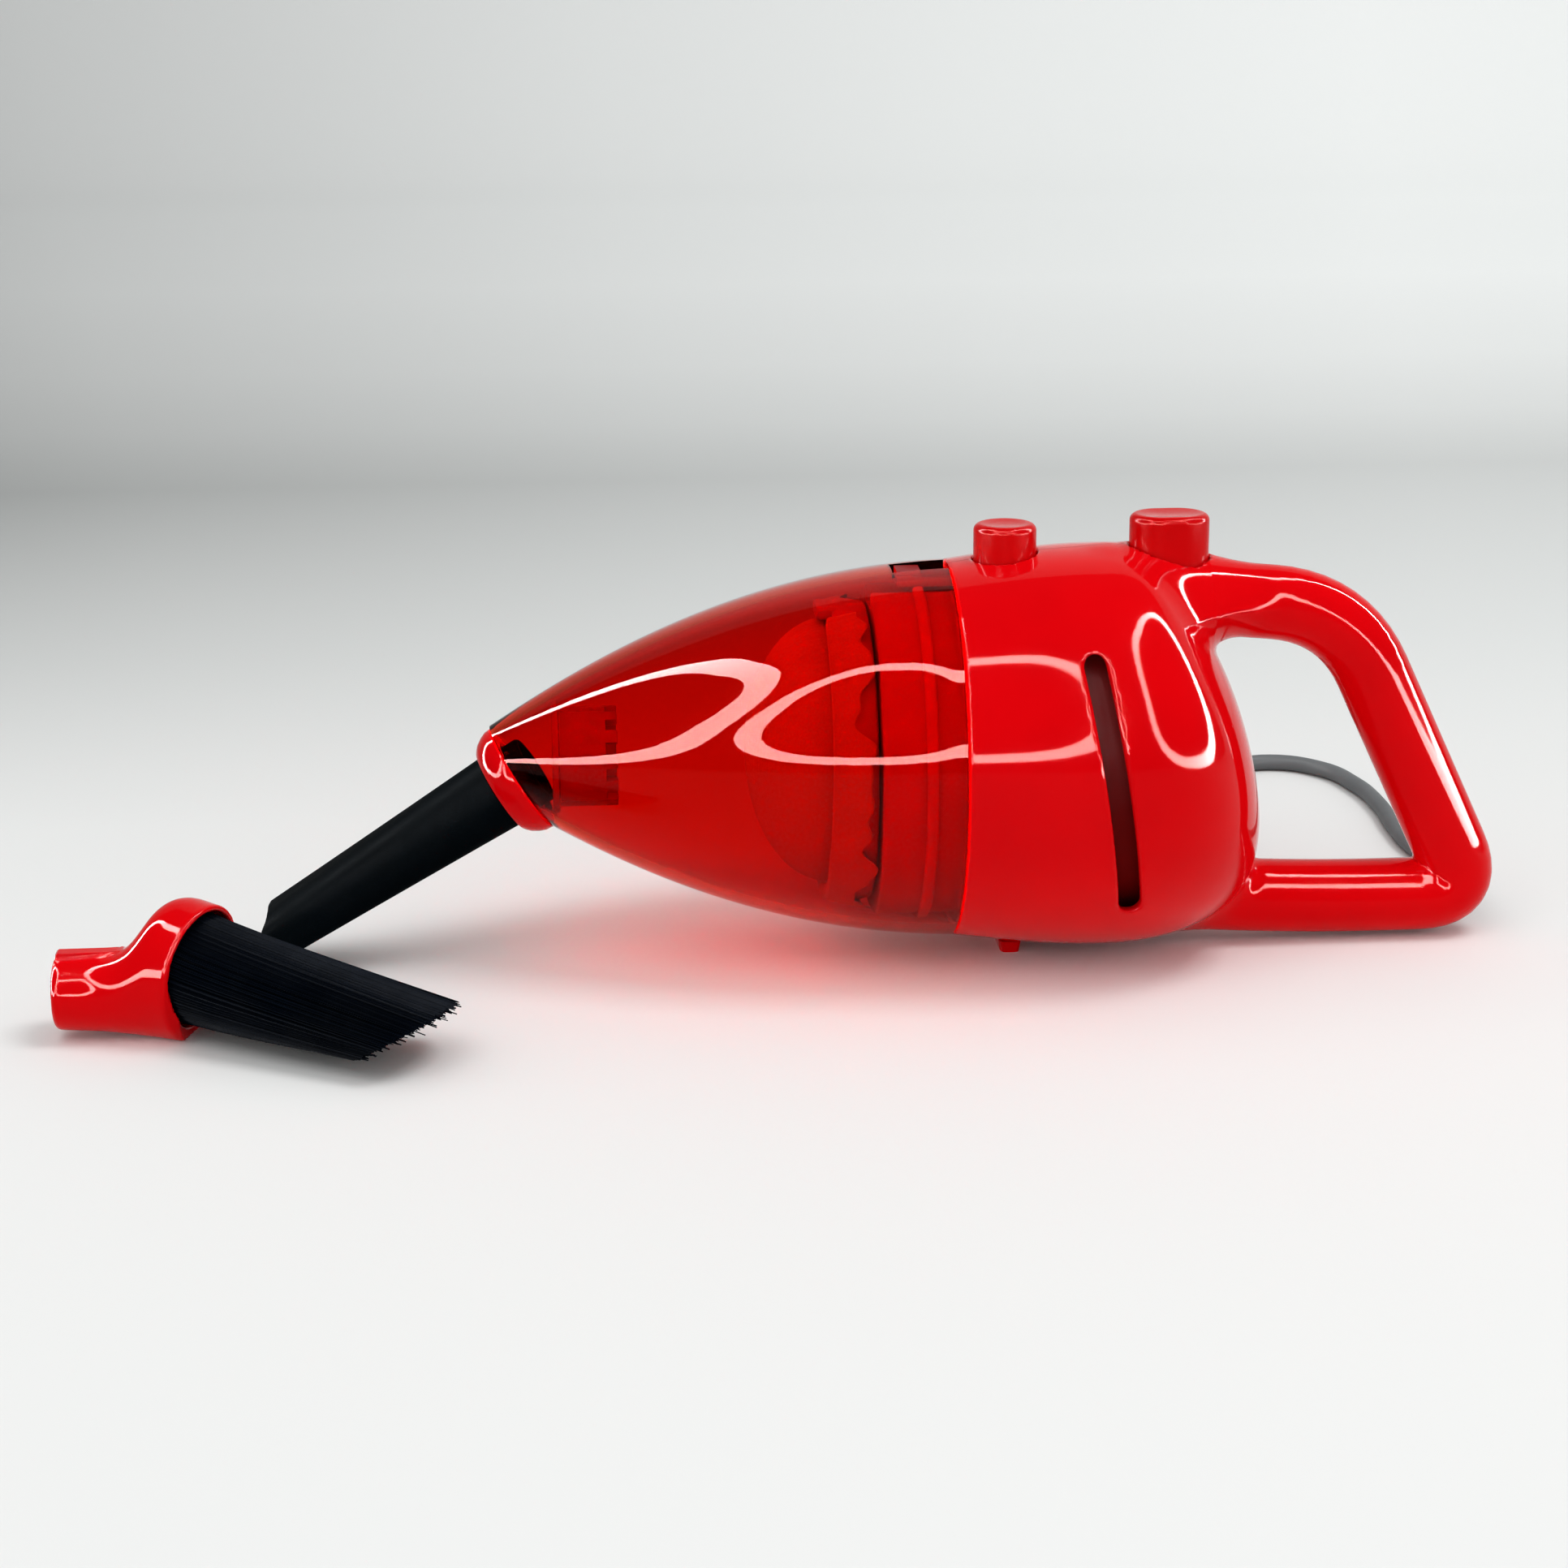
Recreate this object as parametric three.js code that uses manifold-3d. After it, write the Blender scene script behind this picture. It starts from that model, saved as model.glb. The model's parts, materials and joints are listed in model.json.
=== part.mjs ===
// A small corded hand vacuum with a clear dust bowl, a crevice tool and a loose dusting brush.
// Millimetres. +X runs towards the handle, +Z is up, and the two housing halves meet at y = 0.
// The origin is the middle of the belly foot's underside.
import * as THREE from 'three';
import { mergeVertices } from 'three/addons/utils/BufferGeometryUtils.js';
import manifoldModule from 'manifold-3d';

const kernel = await manifoldModule();
kernel.setup();

const model = new THREE.Group();

// ---------------------------------------------------------------- driving sizes

const AXIS_Z = 33.9;
const GAP = 0.3;
const FAR = 60;

const body = { frontX: -10.3, shoulderX: 14, rearX: 38.6, frontR: 30.2, maxR: 32.4, lean: 0.24, power: 2.4, wall: 2 };
const handle = { radius: 6, bore: 3.9 };
const neck = { frontX: -23, rearX: -7, radius: 26.5, wall: 2, flangeR: 27.9 };
const bowl = { rearX: body.frontX - GAP, wall: 1.6 };
const nozzle = { x: -78.2, z: 30.8, tilt: THREE.MathUtils.degToRad(31.5), ringLength: 4.3, bore: 6 };
const tool = { root: -4.6, tip: -49, spigotEnd: 4, spigotR: 5.7, wall: 1.2 };
const release = { x: -1.2, radius: 5, topZ: 70.3, bottomZ: 62.2 };
const power = { x: 25.1, length: 12.7, width: 10, topZ: 71.4, bottomZ: 61.5 };
const latch = { bottomZ: 60.6, topZ: 61.9, halfWidth: 3 };
const motor = { frontX: -4, rearX: 26, radius: 12 };
const shaftR = 1.15;
const cord = { radius: 1.5, coilX: 20, coilY: 67, coilMidR: 18, coilHalf: 6, coilTop: 6.3 };

// ---------------------------------------------------------------- finishes

const finish = (color, roughness, metalness = 0, opacity = 1) =>
  new THREE.MeshStandardMaterial({ color, roughness, metalness, opacity, transparent: opacity < 1 });

const finishes = {
  redGloss: finish(0xd20006, 0.16),
  redClear: finish(0xd8200c, 0.08, 0, 0.45),
  redMatt: finish(0xb80508, 0.4),
  blackTool: finish(0x0c0f13, 0.45),
  bristle: finish(0x080a0e, 0.6),
  rubber: finish(0x1a1a1c, 0.7),
  silicone: finish(0x8c1210, 0.6),
  fabric: finish(0xc0241c, 0.9),
  cordGrey: finish(0x6d7274, 0.55),
  steel: finish(0xb9bcc0, 0.3, 1),
  brass: finish(0xb08d4a, 0.35, 1),
  motorCan: finish(0xa4a7ab, 0.35, 1),
  whitePlastic: finish(0xe4e2dc, 0.5),
  board: finish(0x1f5a36, 0.6),
  redWire: finish(0xa01010, 0.5),
  blackWire: finish(0x141414, 0.5),
};

// ---------------------------------------------------------------- helpers

const vec = (x, y, z) => new THREE.Vector3(x, y, z);

function add(name, shape, look, parent = model) {
  const geometry = shape.isBufferGeometry ? shape : toGeometry(shape);
  const mesh = new THREE.Mesh(geometry, finishes[look]);
  mesh.name = name;
  parent.add(mesh);
  return mesh;
}

// A closed solid for the boolean kernel, with its seams welded.
function solid(geometry) {
  const bare = new THREE.BufferGeometry();
  bare.setAttribute('position', geometry.getAttribute('position').clone());
  if (geometry.index) bare.setIndex(geometry.index.clone());
  const welded = mergeVertices(bare, 1e-3);
  const source = welded.index.array;
  const kept = [];
  for (let i = 0; i < source.length; i += 3) {
    const [a, b, c] = [source[i], source[i + 1], source[i + 2]];
    if (a !== b && b !== c && c !== a) kept.push(a, b, c);
  }
  const vertProperties = new Float32Array(welded.getAttribute('position').array);
  return new kernel.Manifold(new kernel.Mesh({ numProp: 3, vertProperties, triVerts: new Uint32Array(kept) }));
}

function toGeometry(shape) {
  const mesh = shape.getMesh();
  const geometry = new THREE.BufferGeometry();
  geometry.setAttribute('position', new THREE.BufferAttribute(new Float32Array(mesh.vertProperties), 3));
  geometry.setIndex(new THREE.BufferAttribute(new Uint32Array(mesh.triVerts), 1));
  geometry.computeVertexNormals();
  return geometry;
}

const join = (...shapes) => kernel.Manifold.union(shapes);
const cut = (shape, ...tools) => shape.subtract(join(...tools));

// A box between two corners.
function block(low, high) {
  const size = high.map((value, i) => value - low[i]);
  const middle = high.map((value, i) => (value + low[i]) / 2);
  return solid(new THREE.BoxGeometry(...size).translate(...middle));
}

// A cylinder or cone between two points.
function rod(from, to, radius, sides = 24, endRadius = radius) {
  const along = to.clone().sub(from);
  const geometry = new THREE.CylinderGeometry(endRadius, radius, along.length(), sides);
  geometry.applyQuaternion(new THREE.Quaternion().setFromUnitVectors(vec(0, 1, 0), along.clone().normalize()));
  geometry.translate(...from.clone().add(to).multiplyScalar(0.5).toArray());
  return solid(geometry);
}

// A closed [along, radius] outline turned about the line y = 0, z = height, along X.
function turnedX(outline, sides = 40, height = AXIS_Z) {
  const points = [...outline, outline[0]].map(([x, r]) => new THREE.Vector2(r, x));
  const geometry = new THREE.LatheGeometry(points, sides);
  geometry.rotateZ(-Math.PI / 2).rotateX(Math.PI).translate(0, 0, height);
  const shape = solid(geometry);
  return shape.volume() > 0 ? shape : solid(geometry.scale(1, -1, 1));
}

const ringX = (x0, x1, inner, outer, sides = 40) =>
  turnedX([[x0, inner], [x0, outer], [x1, outer], [x1, inner]], sides);

// A solid skinned over rings of equal point counts, flat at both ends.
function loft(rings) {
  const count = rings[0].length;
  const positions = rings.flat().flatMap((point) => point.toArray());
  const index = [];
  for (let i = 0; i + 1 < rings.length; i += 1) {
    for (let j = 0; j < count; j += 1) {
      const a = i * count + j;
      const b = i * count + (j + 1) % count;
      index.push(a, b, a + count, b, b + count, a + count);
    }
  }
  for (const [ring, flip] of [[0, true], [rings.length - 1, false]]) {
    const centre = rings[ring].reduce((sum, point) => sum.add(point), vec(0, 0, 0)).divideScalar(count);
    const hub = positions.length / 3;
    positions.push(...centre.toArray());
    for (let j = 0; j < count; j += 1) {
      const a = ring * count + j;
      const b = ring * count + (j + 1) % count;
      index.push(...(flip ? [hub, b, a] : [hub, a, b]));
    }
  }
  const geometry = new THREE.BufferGeometry();
  geometry.setAttribute('position', new THREE.Float32BufferAttribute(positions, 3));
  geometry.setIndex(index);
  const shape = solid(geometry);
  return shape.volume() > 0 ? shape : flipped(geometry);
}

function flipped(geometry) {
  const index = Array.from(geometry.index.array);
  for (let i = 0; i < index.length; i += 3) [index[i], index[i + 1]] = [index[i + 1], index[i]];
  geometry.setIndex(index);
  return solid(geometry);
}

// A ring of points across X: half sizes in y and z, and a superellipse power.
function crossRing(x, halfY, halfZ, { sides = 32, z = 0, power: squareness = 2, shift = () => 0 } = {}) {
  return Array.from({ length: sides }, (_, i) => {
    const angle = (i / sides) * Math.PI * 2;
    const bend = (value) => Math.sign(value) * Math.abs(value) ** (2 / squareness);
    const y = halfY * bend(Math.sin(angle));
    const up = halfZ * bend(Math.cos(angle));
    return vec(x + shift(up), y, z + up);
  });
}

// A round bar along a curve, closed at both ends.
function bar(curve, radius, steps, sides = 8) {
  const section = new THREE.Shape().absarc(0, 0, radius, 0, Math.PI * 2);
  const options = { steps, extrudePath: curve, curveSegments: sides / 2, bevelEnabled: false };
  return solid(new THREE.ExtrudeGeometry(section, options));
}

// Straight runs joined by rounded corners: each entry is [x, z, size of the rounding].
function roundedPath(corners) {
  const path = new THREE.CurvePath();
  const at = ([x, z]) => vec(x, 0, z);
  let start = at(corners[0]);
  for (let i = 1; i + 1 < corners.length; i += 1) {
    const corner = at(corners[i]);
    const into = start.clone().sub(corner).setLength(corners[i][2]).add(corner);
    const out = at(corners[i + 1]).sub(corner).setLength(corners[i][2]).add(corner);
    path.add(new THREE.LineCurve3(start, into));
    path.add(new THREE.QuadraticBezierCurve3(into, corner, out));
    start = out;
  }
  path.add(new THREE.LineCurve3(start, at(corners.at(-1))));
  return path;
}

// A coil spring standing along Z.
function spring(x, lowZ, highZ, radius, turns, wire = 0.35) {
  class Helix extends THREE.Curve {
    getPoint(t, target = new THREE.Vector3()) {
      const angle = t * turns * Math.PI * 2;
      const height = lowZ + wire + t * (highZ - lowZ - 2 * wire);
      return target.set(x + radius * Math.cos(angle), radius * Math.sin(angle), height);
    }
  }
  return bar(new Helix(), wire, turns * 8, 6);
}

// ---------------------------------------------------------------- housing halves

// The body's skin, moved inwards by inset and opened forwards by reach.
function bodySkin(inset, reach = 0) {
  const rings = [];
  const front = { x: body.frontX, r: body.frontR };
  if (reach > 0) rings.push(crossRing(front.x - reach, front.r - inset, front.r - inset, { sides: 40, z: AXIS_Z }));
  for (let i = 0; i <= 3; i += 1) {
    const r = front.r + (body.maxR - front.r) * Math.sin((i / 3) * Math.PI / 2) - inset;
    rings.push(crossRing(front.x + (body.shoulderX - front.x) * (i / 3), r, r, { sides: 40, z: AXIS_Z }));
  }
  const tailLength = body.rearX - inset - body.shoulderX;
  const tailSteps = 9;
  for (let i = 1; i <= tailSteps; i += 1) {
    const u = Math.min(Math.sin((i / tailSteps) * Math.PI / 2), 0.995);
    const r = (body.maxR - inset) * (1 - u ** body.power) ** (1 / body.power);
    const lean = body.lean * u * u * (3 - 2 * u);
    const shift = (up) => -lean * up;
    rings.push(crossRing(body.shoulderX + u * tailLength, r, r, { sides: 40, z: AXIS_Z, shift }));
  }
  return loft(rings);
}

const handlePath = roundedPath([[16, 58.9], [53.8, 55.5, 12], [77, 6.7, 9], [50, 6.7, 12], [14, 9]]);

const cordExit = { from: vec(74, 0.6, 8.9), to: vec(79.4, 10.6, 5.8) };
const exitDirection = cordExit.to.clone().sub(cordExit.from).normalize();

function ventSlot() {
  const [top, bottom, half] = [new THREE.Vector2(9.3, 52.8), new THREE.Vector2(15.4, 15.2), 1.7];
  const angle = Math.atan2(top.y - bottom.y, top.x - bottom.x);
  const outline = new THREE.Shape();
  outline.absarc(top.x, top.y, half, angle - Math.PI / 2, angle + Math.PI / 2);
  outline.absarc(bottom.x, bottom.y, half, angle + Math.PI / 2, angle + Math.PI * 1.5);
  const geometry = new THREE.ExtrudeGeometry(outline, { depth: 2 * FAR, curveSegments: 6, bevelEnabled: false });
  return solid(geometry.rotateX(Math.PI / 2).translate(0, FAR, 0));
}

function ovalPillar(length, width, lowZ, highZ, x, bevel = 0) {
  const flat = (length - width) / 2;
  const radius = width / 2 - bevel;
  const outline = new THREE.Shape();
  outline.absarc(flat, 0, radius, -Math.PI / 2, Math.PI / 2);
  outline.absarc(-flat, 0, radius, Math.PI / 2, Math.PI * 1.5);
  const options = { depth: highZ - lowZ - 2 * bevel, curveSegments: 10, bevelEnabled: bevel > 0 };
  Object.assign(options, { bevelThickness: bevel, bevelSize: bevel, bevelSegments: 3 });
  return solid(new THREE.ExtrudeGeometry(outline, options).translate(x, 0, lowZ + bevel));
}

// Where the screws go in, as [x, z] seen from the side.
const screwPlaces = [[31, 14], [14.6, 56.6], [50.4, 53.5], [63.6, 35]];
const screw = { headR: 2.4, shankR: 1.2, headY: 2.6, headEnd: 4.4, tipY: -4 };

function housing() {
  const outer = join(bodySkin(0), bar(handlePath, handle.radius, 42, 16));
  const inner = join(bodySkin(body.wall, 3), bar(handlePath, handle.bore, 42, 8));
  const posts = screwPlaces.map(([x, z]) => rod(vec(x, -FAR, z), vec(x, FAR, z), 4, 16));
  const holes = screwPlaces.flatMap(([x, z]) => [
    rod(vec(x, screw.tipY - 0.5, z), vec(x, 5, z), screw.shankR + GAP, 12),
    rod(vec(x, screw.headY - GAP, z), vec(x, FAR, z), screw.headR + GAP, 16),
  ]);
  const shell = join(cut(outer, inner), outer.intersect(join(...posts)));
  return cut(
    shell,
    ...holes,
    ventSlot(),
    rod(vec(release.x, 0, 58), vec(release.x, 0, 80), release.radius + GAP, 32),
    ovalPillar(power.length + 2 * GAP, power.width + 2 * GAP, 57.6, 80, power.x),
    block([-1.3, -3.3, -1], [1.3, 3.3, 6]),
    rod(cordExit.from, cordExit.to.clone().add(exitDirection), 3.1, 20),
  );
}

const shell = housing();
const split = 0.05;
add('left_housing', shell.intersect(block([-FAR, split, -FAR], [2 * FAR, FAR, 2 * FAR])), 'redGloss');
add('right_housing', shell.intersect(block([-FAR, -FAR, -FAR], [2 * FAR, -split, 2 * FAR])), 'redGloss');

screwPlaces.forEach(([x, z], i) => {
  const head = rod(vec(0, screw.headY, 0), vec(0, screw.headEnd, 0), screw.headR, 16);
  const shank = rod(vec(0, screw.tipY, 0), vec(0, screw.headY + 0.2, 0), screw.shankR, 12);
  const recess = [0, Math.PI / 2].map((turn) =>
    block([-1.3, screw.headEnd - 0.8, -0.3], [1.3, 6, 0.3]).rotate([0, THREE.MathUtils.radToDeg(turn), 0]));
  add(`housing_screw_${i + 1}`, cut(join(head, shank), ...recess), 'steel').position.set(x, 0, z);
});

const footPad = loft([
  crossRing(0, 4.2, 1.6, { sides: 24, power: 5 }),
  crossRing(1.9, 4.6, 1.9, { sides: 24, power: 5 }),
]).rotate([0, -90, 0]);
add('belly_foot', join(footPad, block([-1, -3, 1.5], [1, 3, 5])), 'redGloss');

// ---------------------------------------------------------------- fan cover, seal and motor

const channel = block([neck.frontX - 1, -4.2, 57.4], [motor.frontX, 4.2, FAR + AXIS_Z]);

function fanCover() {
  const tube = turnedX([
    [neck.frontX, neck.radius - neck.wall], [neck.frontX, neck.radius], [-12, neck.radius],
    [-12, neck.flangeR - 0.2], [neck.rearX, neck.flangeR], [neck.rearX, neck.radius - neck.wall],
  ]);
  const seat = cut(tube, ringX(-12.1, body.frontX + 0.1, neck.radius, FAR));
  const disc = cut(
    ringX(neck.frontX, neck.frontX + 2, 6, neck.radius - 1),
    ...[0, 1, 2, 3, 4, 5, 6, 7].map((i) =>
      rod(vec(-FAR, 0, 14.5), vec(FAR, 0, 14.5), 4.2, 16).rotate([i * 45, 0, 0]).translate([0, 0, AXIS_Z])),
  );
  const trough = block([neck.frontX, -5.6, 54.8], [neck.rearX, 5.6, 58.6]);
  const groove = ringX(-16.6, -14.4, neck.radius - 0.9, FAR);
  return cut(join(seat, disc, trough), channel, groove);
}

add('fan_cover', fanCover(), 'redMatt');

function bowlSeal() {
  const ring = ringX(-16.4, -14.6, neck.radius - 0.6, 27.6);
  return cut(ring, channel);
}

add('bowl_seal', bowlSeal(), 'silicone');

function motorMount() {
  const plate = ringX(-6.7, -4.4, 2.2, neck.flangeR);
  const windows = [0, 1, 2, 3, 4, 5].map((i) =>
    rod(vec(-FAR, 0, 19.5), vec(FAR, 0, 19.5), 3.6, 14).rotate([i * 60 + 30, 0, 0]).translate([0, 0, AXIS_Z]));
  const shelf = block([-5, -4, 51.5], [4.4, 4, 53]);
  const cradle = ringX(-4.5, 8, motor.radius + GAP, motor.radius + 2);
  return join(cut(plate, ...windows, channel), shelf, cradle);
}

add('motor_mount', motorMount(), 'whitePlastic');

const can = cut(
  turnedX([[motor.frontX, 1.3], [motor.frontX, 11], [-3, motor.radius], [motor.rearX, motor.radius],
    [motor.rearX, 1.3]]),
  ...[1, -1].map((side) => block([6, side * 14 - 4, AXIS_Z - 2], [18, side * 14 + 4, AXIS_Z + 2])),
);
add('motor_can', can, 'motorCan');

const endCap = join(
  turnedX([[motor.rearX + GAP, 1.3], [motor.rearX + GAP, 11.5], [28.6, 11], [29.4, 5], [29.4, 1.3]]),
  block([28, -7.6, AXIS_Z - 1], [30.6, -6.8, AXIS_Z + 1]),
  block([28, 6.8, AXIS_Z - 1], [30.6, 7.6, AXIS_Z + 1]),
);
add('motor_end_cap', endCap, 'whitePlastic');

add('motor_shaft', rod(vec(-18.4, 0, AXIS_Z), vec(30, 0, AXIS_Z), shaftR, 16), 'steel');

function impeller() {
  const plate = ringX(-11, -9.6, shaftR + 0.05, 19.5);
  const hub = ringX(-17.4, -10, shaftR + 0.05, 4);
  const blades = Array.from({ length: 8 }, (_, i) =>
    block([-17, -0.6, 3.5], [-10.5, 0.6, 19]).rotate([i * 45, 0, 0]).translate([0, 0, AXIS_Z]));
  return join(plate, hub, ...blades);
}

add('impeller', impeller(), 'whitePlastic');

// ---------------------------------------------------------------- switch and wiring

add('circuit_board', block([8.5, -7, 50.2], [28.4, 7, 51.4]), 'board');
add('switch_body', join(block([19, -4.4, 51.7], [26.6, 4.4, 55.9]), block([21.2, -4.8, 52.4], [24.2, 4.8, 53.6])),
  'blackWire');
for (const [name, side, look] of [['lead_wire_red', -1, 'redWire'], ['lead_wire_black', 1, 'blackWire']]) {
  const route = new THREE.CatmullRomCurve3([
    vec(27, side * 6, 49.6), vec(29.6, side * 6.6, 47), vec(31.4, side * 7.2, 42), vec(31.6, side * 7.2, 35.6),
  ]);
  add(name, bar(route, 0.6, 14, 8), look);
}
const supply = new THREE.CatmullRomCurve3([
  vec(12, -5, 49), vec(14, -11, 42), vec(18, -15.2, 30), vec(21, -13, 18), vec(25, -6, 10), vec(31, -1.5, 7.4),
  vec(40, 0, 7.2), vec(56, 0, 6.8), vec(72, 0, 7),
]);
add('supply_wire', bar(supply, 1, 36, 8), 'cordGrey');

// ---------------------------------------------------------------- buttons

function pill(radius, lowZ, highZ, round) {
  const outline = [new THREE.Vector2(0, lowZ), new THREE.Vector2(radius, lowZ)];
  for (let i = 0; i <= 4; i += 1) {
    const angle = (i / 4) * Math.PI / 2;
    outline.push(new THREE.Vector2(radius - round + round * Math.cos(angle), highZ - round + round * Math.sin(angle)));
  }
  outline.push(new THREE.Vector2(0, highZ));
  const geometry = new THREE.LatheGeometry(outline, 32).rotateX(Math.PI / 2);
  const shape = solid(geometry);
  return shape.volume() > 0 ? shape : solid(geometry.scale(1, -1, 1));
}

add('release_button', pill(release.radius, release.bottomZ, release.topZ, 1.1), 'redGloss')
  .position.set(release.x, 0, 0);

const latchArm = join(
  block([-18.6, -latch.halfWidth, latch.bottomZ], [4.6, latch.halfWidth, latch.topZ]),
  block([-18.6, -2.5, latch.bottomZ], [-14.8, 2.5, 63.3]),
);
add('latch_arm', latchArm, 'redMatt');
add('latch_spring', spring(1, 53.2, latch.bottomZ - 0.2, 2.2, 4), 'steel');

const powerCap = ovalPillar(power.length, power.width, power.bottomZ, power.topZ, 0, 1);
const powerStem = rod(vec(0, 0, 58.2), vec(0, 0, power.bottomZ + 1), 1.9, 16);
add('power_button', join(powerCap, powerStem), 'redGloss').position.set(power.x, 0, 0);
add('power_spring', spring(power.x, 56.5, power.bottomZ - 0.2, 3, 3), 'steel');

// ---------------------------------------------------------------- dust bowl and what it holds

const bowlCurve = new THREE.CubicBezierCurve(
  new THREE.Vector2(body.frontX, body.frontR), new THREE.Vector2(-35, 29.5),
  new THREE.Vector2(-57.5, 21.5), new THREE.Vector2(-81, 6.7),
);

function bowlSkin(inset, rearX) {
  const points = bowlCurve.getPoints(12).map((point) => [point.x, point.y - inset]);
  points[0] = [rearX, body.frontR - inset];
  const nose = [-88, 2.3 - inset];
  return turnedX([[rearX, 0], ...points, nose, [nose[0], 0]], 44);
}

// The plane across the tool's axis, and everything in front of it.
const noseCut = block([-FAR, -FAR, -FAR], [0.15, FAR, FAR])
  .rotate([0, -THREE.MathUtils.radToDeg(nozzle.tilt), 0])
  .translate([nozzle.x, 0, nozzle.z]);

function dustBowl() {
  const hollow = cut(bowlSkin(0, bowl.rearX), bowlSkin(bowl.wall, bowl.rearX + 2));
  const notch = block([-19.4, -3.2, 58], [0, 3.2, 70]);
  return cut(hollow, notch, noseCut);
}

add('dust_bowl', dustBowl(), 'redClear');

function inletDuct() {
  const tube = join(ringX(-73.4, -63, 6.8, 8, 36), ringX(-73.4, -72.4, 6.8, 9, 36));
  const gaps = Array.from({ length: 6 }, (_, i) =>
    block([-64.7, -2, 0], [-60, 2, 20]).rotate([i * 60 + 30, 0, 0]).translate([0, 0, AXIS_Z]));
  return cut(tube, ...gaps);
}

add('inlet_duct', inletDuct(), 'redClear');

const flap = { x: -69, radius: 5.6 };
const flapDisc = join(
  rod(vec(flap.x - 0.4, 0, AXIS_Z), vec(flap.x + 0.4, 0, AXIS_Z), flap.radius, 28),
  rod(vec(flap.x, -1.6, AXIS_Z + 5.4), vec(flap.x, 1.6, AXIS_Z + 5.4), 0.6, 10),
);
add('inlet_flap', flapDisc, 'silicone');

// ---------------------------------------------------------------- filter

const filter = { frontX: -29, rearX: -23.4, innerR: 21.5, outerR: 24.4 };
const filterFrame = join(
  ringX(filter.frontX, filter.rearX, filter.innerR, filter.outerR),
  ringX(filter.rearX - 1.2, filter.rearX, 18, filter.outerR - 1),
  block([filter.frontX - 2.4, -4, 55.8], [filter.frontX + 1, 4, 57.8]),
);
add('filter_frame', filterFrame, 'redMatt');

function filterBag() {
  const skin = (radius, depth, backX) => {
    const outline = [[backX, 0], [backX, radius]];
    for (let i = 0; i <= 8; i += 1) {
      const angle = (i / 8) * Math.PI / 2;
      outline.push([filter.frontX - depth * Math.sin(angle), radius * Math.cos(angle)]);
    }
    return turnedX(outline, 32);
  };
  return cut(skin(21.2, 13.7, -25), skin(20.1, 12.6, -24));
}

add('filter_bag', filterBag(), 'fabric');

// ---------------------------------------------------------------- nozzle ring and crevice tool

// Inside this group the tool's axis is X, and the tool points towards -X.
const nose = new THREE.Group();
nose.position.set(nozzle.x, 0, nozzle.z);
nose.rotation.y = -nozzle.tilt;
model.add(nose);

const alongNose = (x0, x1, radius, sides = 32) => rod(vec(x0, 0, 0), vec(x1, 0, 0), radius, sides);

function nozzleRing() {
  const skin = loft([
    crossRing(-0.15, 8.4, 10.1, { sides: 40 }), crossRing(-1.4, 8.5, 10, { sides: 40 }),
    crossRing(-3.2, 7.9, 8.6, { sides: 40 }), crossRing(-nozzle.ringLength, 7.1, 7.4, { sides: 40 }),
  ]);
  return cut(skin, alongNose(-FAR, FAR, nozzle.bore));
}

add('nozzle_ring', nozzleRing(), 'redGloss', nose);

function toolSkin(inset, overrun) {
  const steps = 8;
  const rings = Array.from({ length: steps + 1 }, (_, i) => {
    const t = i / steps;
    const round = t === 1 ? 2.8 : 0;
    const halfZ = 6.2 - 2.4 * t - inset;
    const shift = (up) => round * Math.max(0, up / halfZ) ** 3;
    const x = tool.root + (tool.tip - tool.root) * t;
    return crossRing(x, 6.2 + 1.5 * t * t - inset, halfZ, { sides: 28, power: 2 + 1.4 * t, shift });
  });
  if (overrun > 0) {
    rings.unshift(rings[0].map((point) => point.clone().add(vec(overrun, 0, 0))));
    rings.push(rings.at(-1).map((point) => point.clone().add(vec(-overrun, 0, 0))));
  }
  return loft(rings);
}

function creviceTool() {
  const spigot = alongNose(tool.spigotEnd, tool.root - 0.5, tool.spigotR);
  const passage = alongNose(FAR, tool.root - 1, tool.spigotR - tool.wall);
  return cut(join(toolSkin(0, 0), spigot), toolSkin(tool.wall, 0.1).intersect(alongNose(-FAR, tool.root, FAR)), passage,
    alongNose(tool.tip - 1, tool.tip + 3, 2.3));
}

add('crevice_tool', creviceTool(), 'blackTool', nose);

// ---------------------------------------------------------------- dusting brush

const brush = {
  mouth: vec(-127.5, -29.5, 10.2),
  direction: vec(0.869, -0.462, -0.178).normalize(),
  neckZ: 7, neckEndX: -149.5, neckR: 5.6, collarR: 10,
};
const behindMouth = (distance) => brush.mouth.clone().addScaledVector(brush.direction, -distance);

function brushCollar() {
  const collar = rod(behindMouth(8.5), brush.mouth, brush.collarR, 32);
  const neckEnd = vec(brush.neckEndX, brush.mouth.y, brush.neckZ);
  const neckStart = vec(-134, brush.mouth.y, brush.neckZ);
  const neckTube = rod(neckEnd, neckStart, brush.neckR, 28, 6.6);
  const lug = block([brush.neckEndX + 0.6, brush.mouth.y - 1.2, 11.6], [-138, brush.mouth.y + 1.2, 13.6]);
  const bore = rod(vec(brush.neckEndX - 1, brush.mouth.y, brush.neckZ), vec(-139, brush.mouth.y, brush.neckZ), 4.4);
  const mouth = rod(behindMouth(4.2), behindMouth(-1), 9.1, 28);
  return cut(join(collar, neckTube, lug), bore, mouth).trimByPlane([0, 0, 1], 0.05);
}

add('brush_collar', brushCollar(), 'redGloss');

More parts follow.
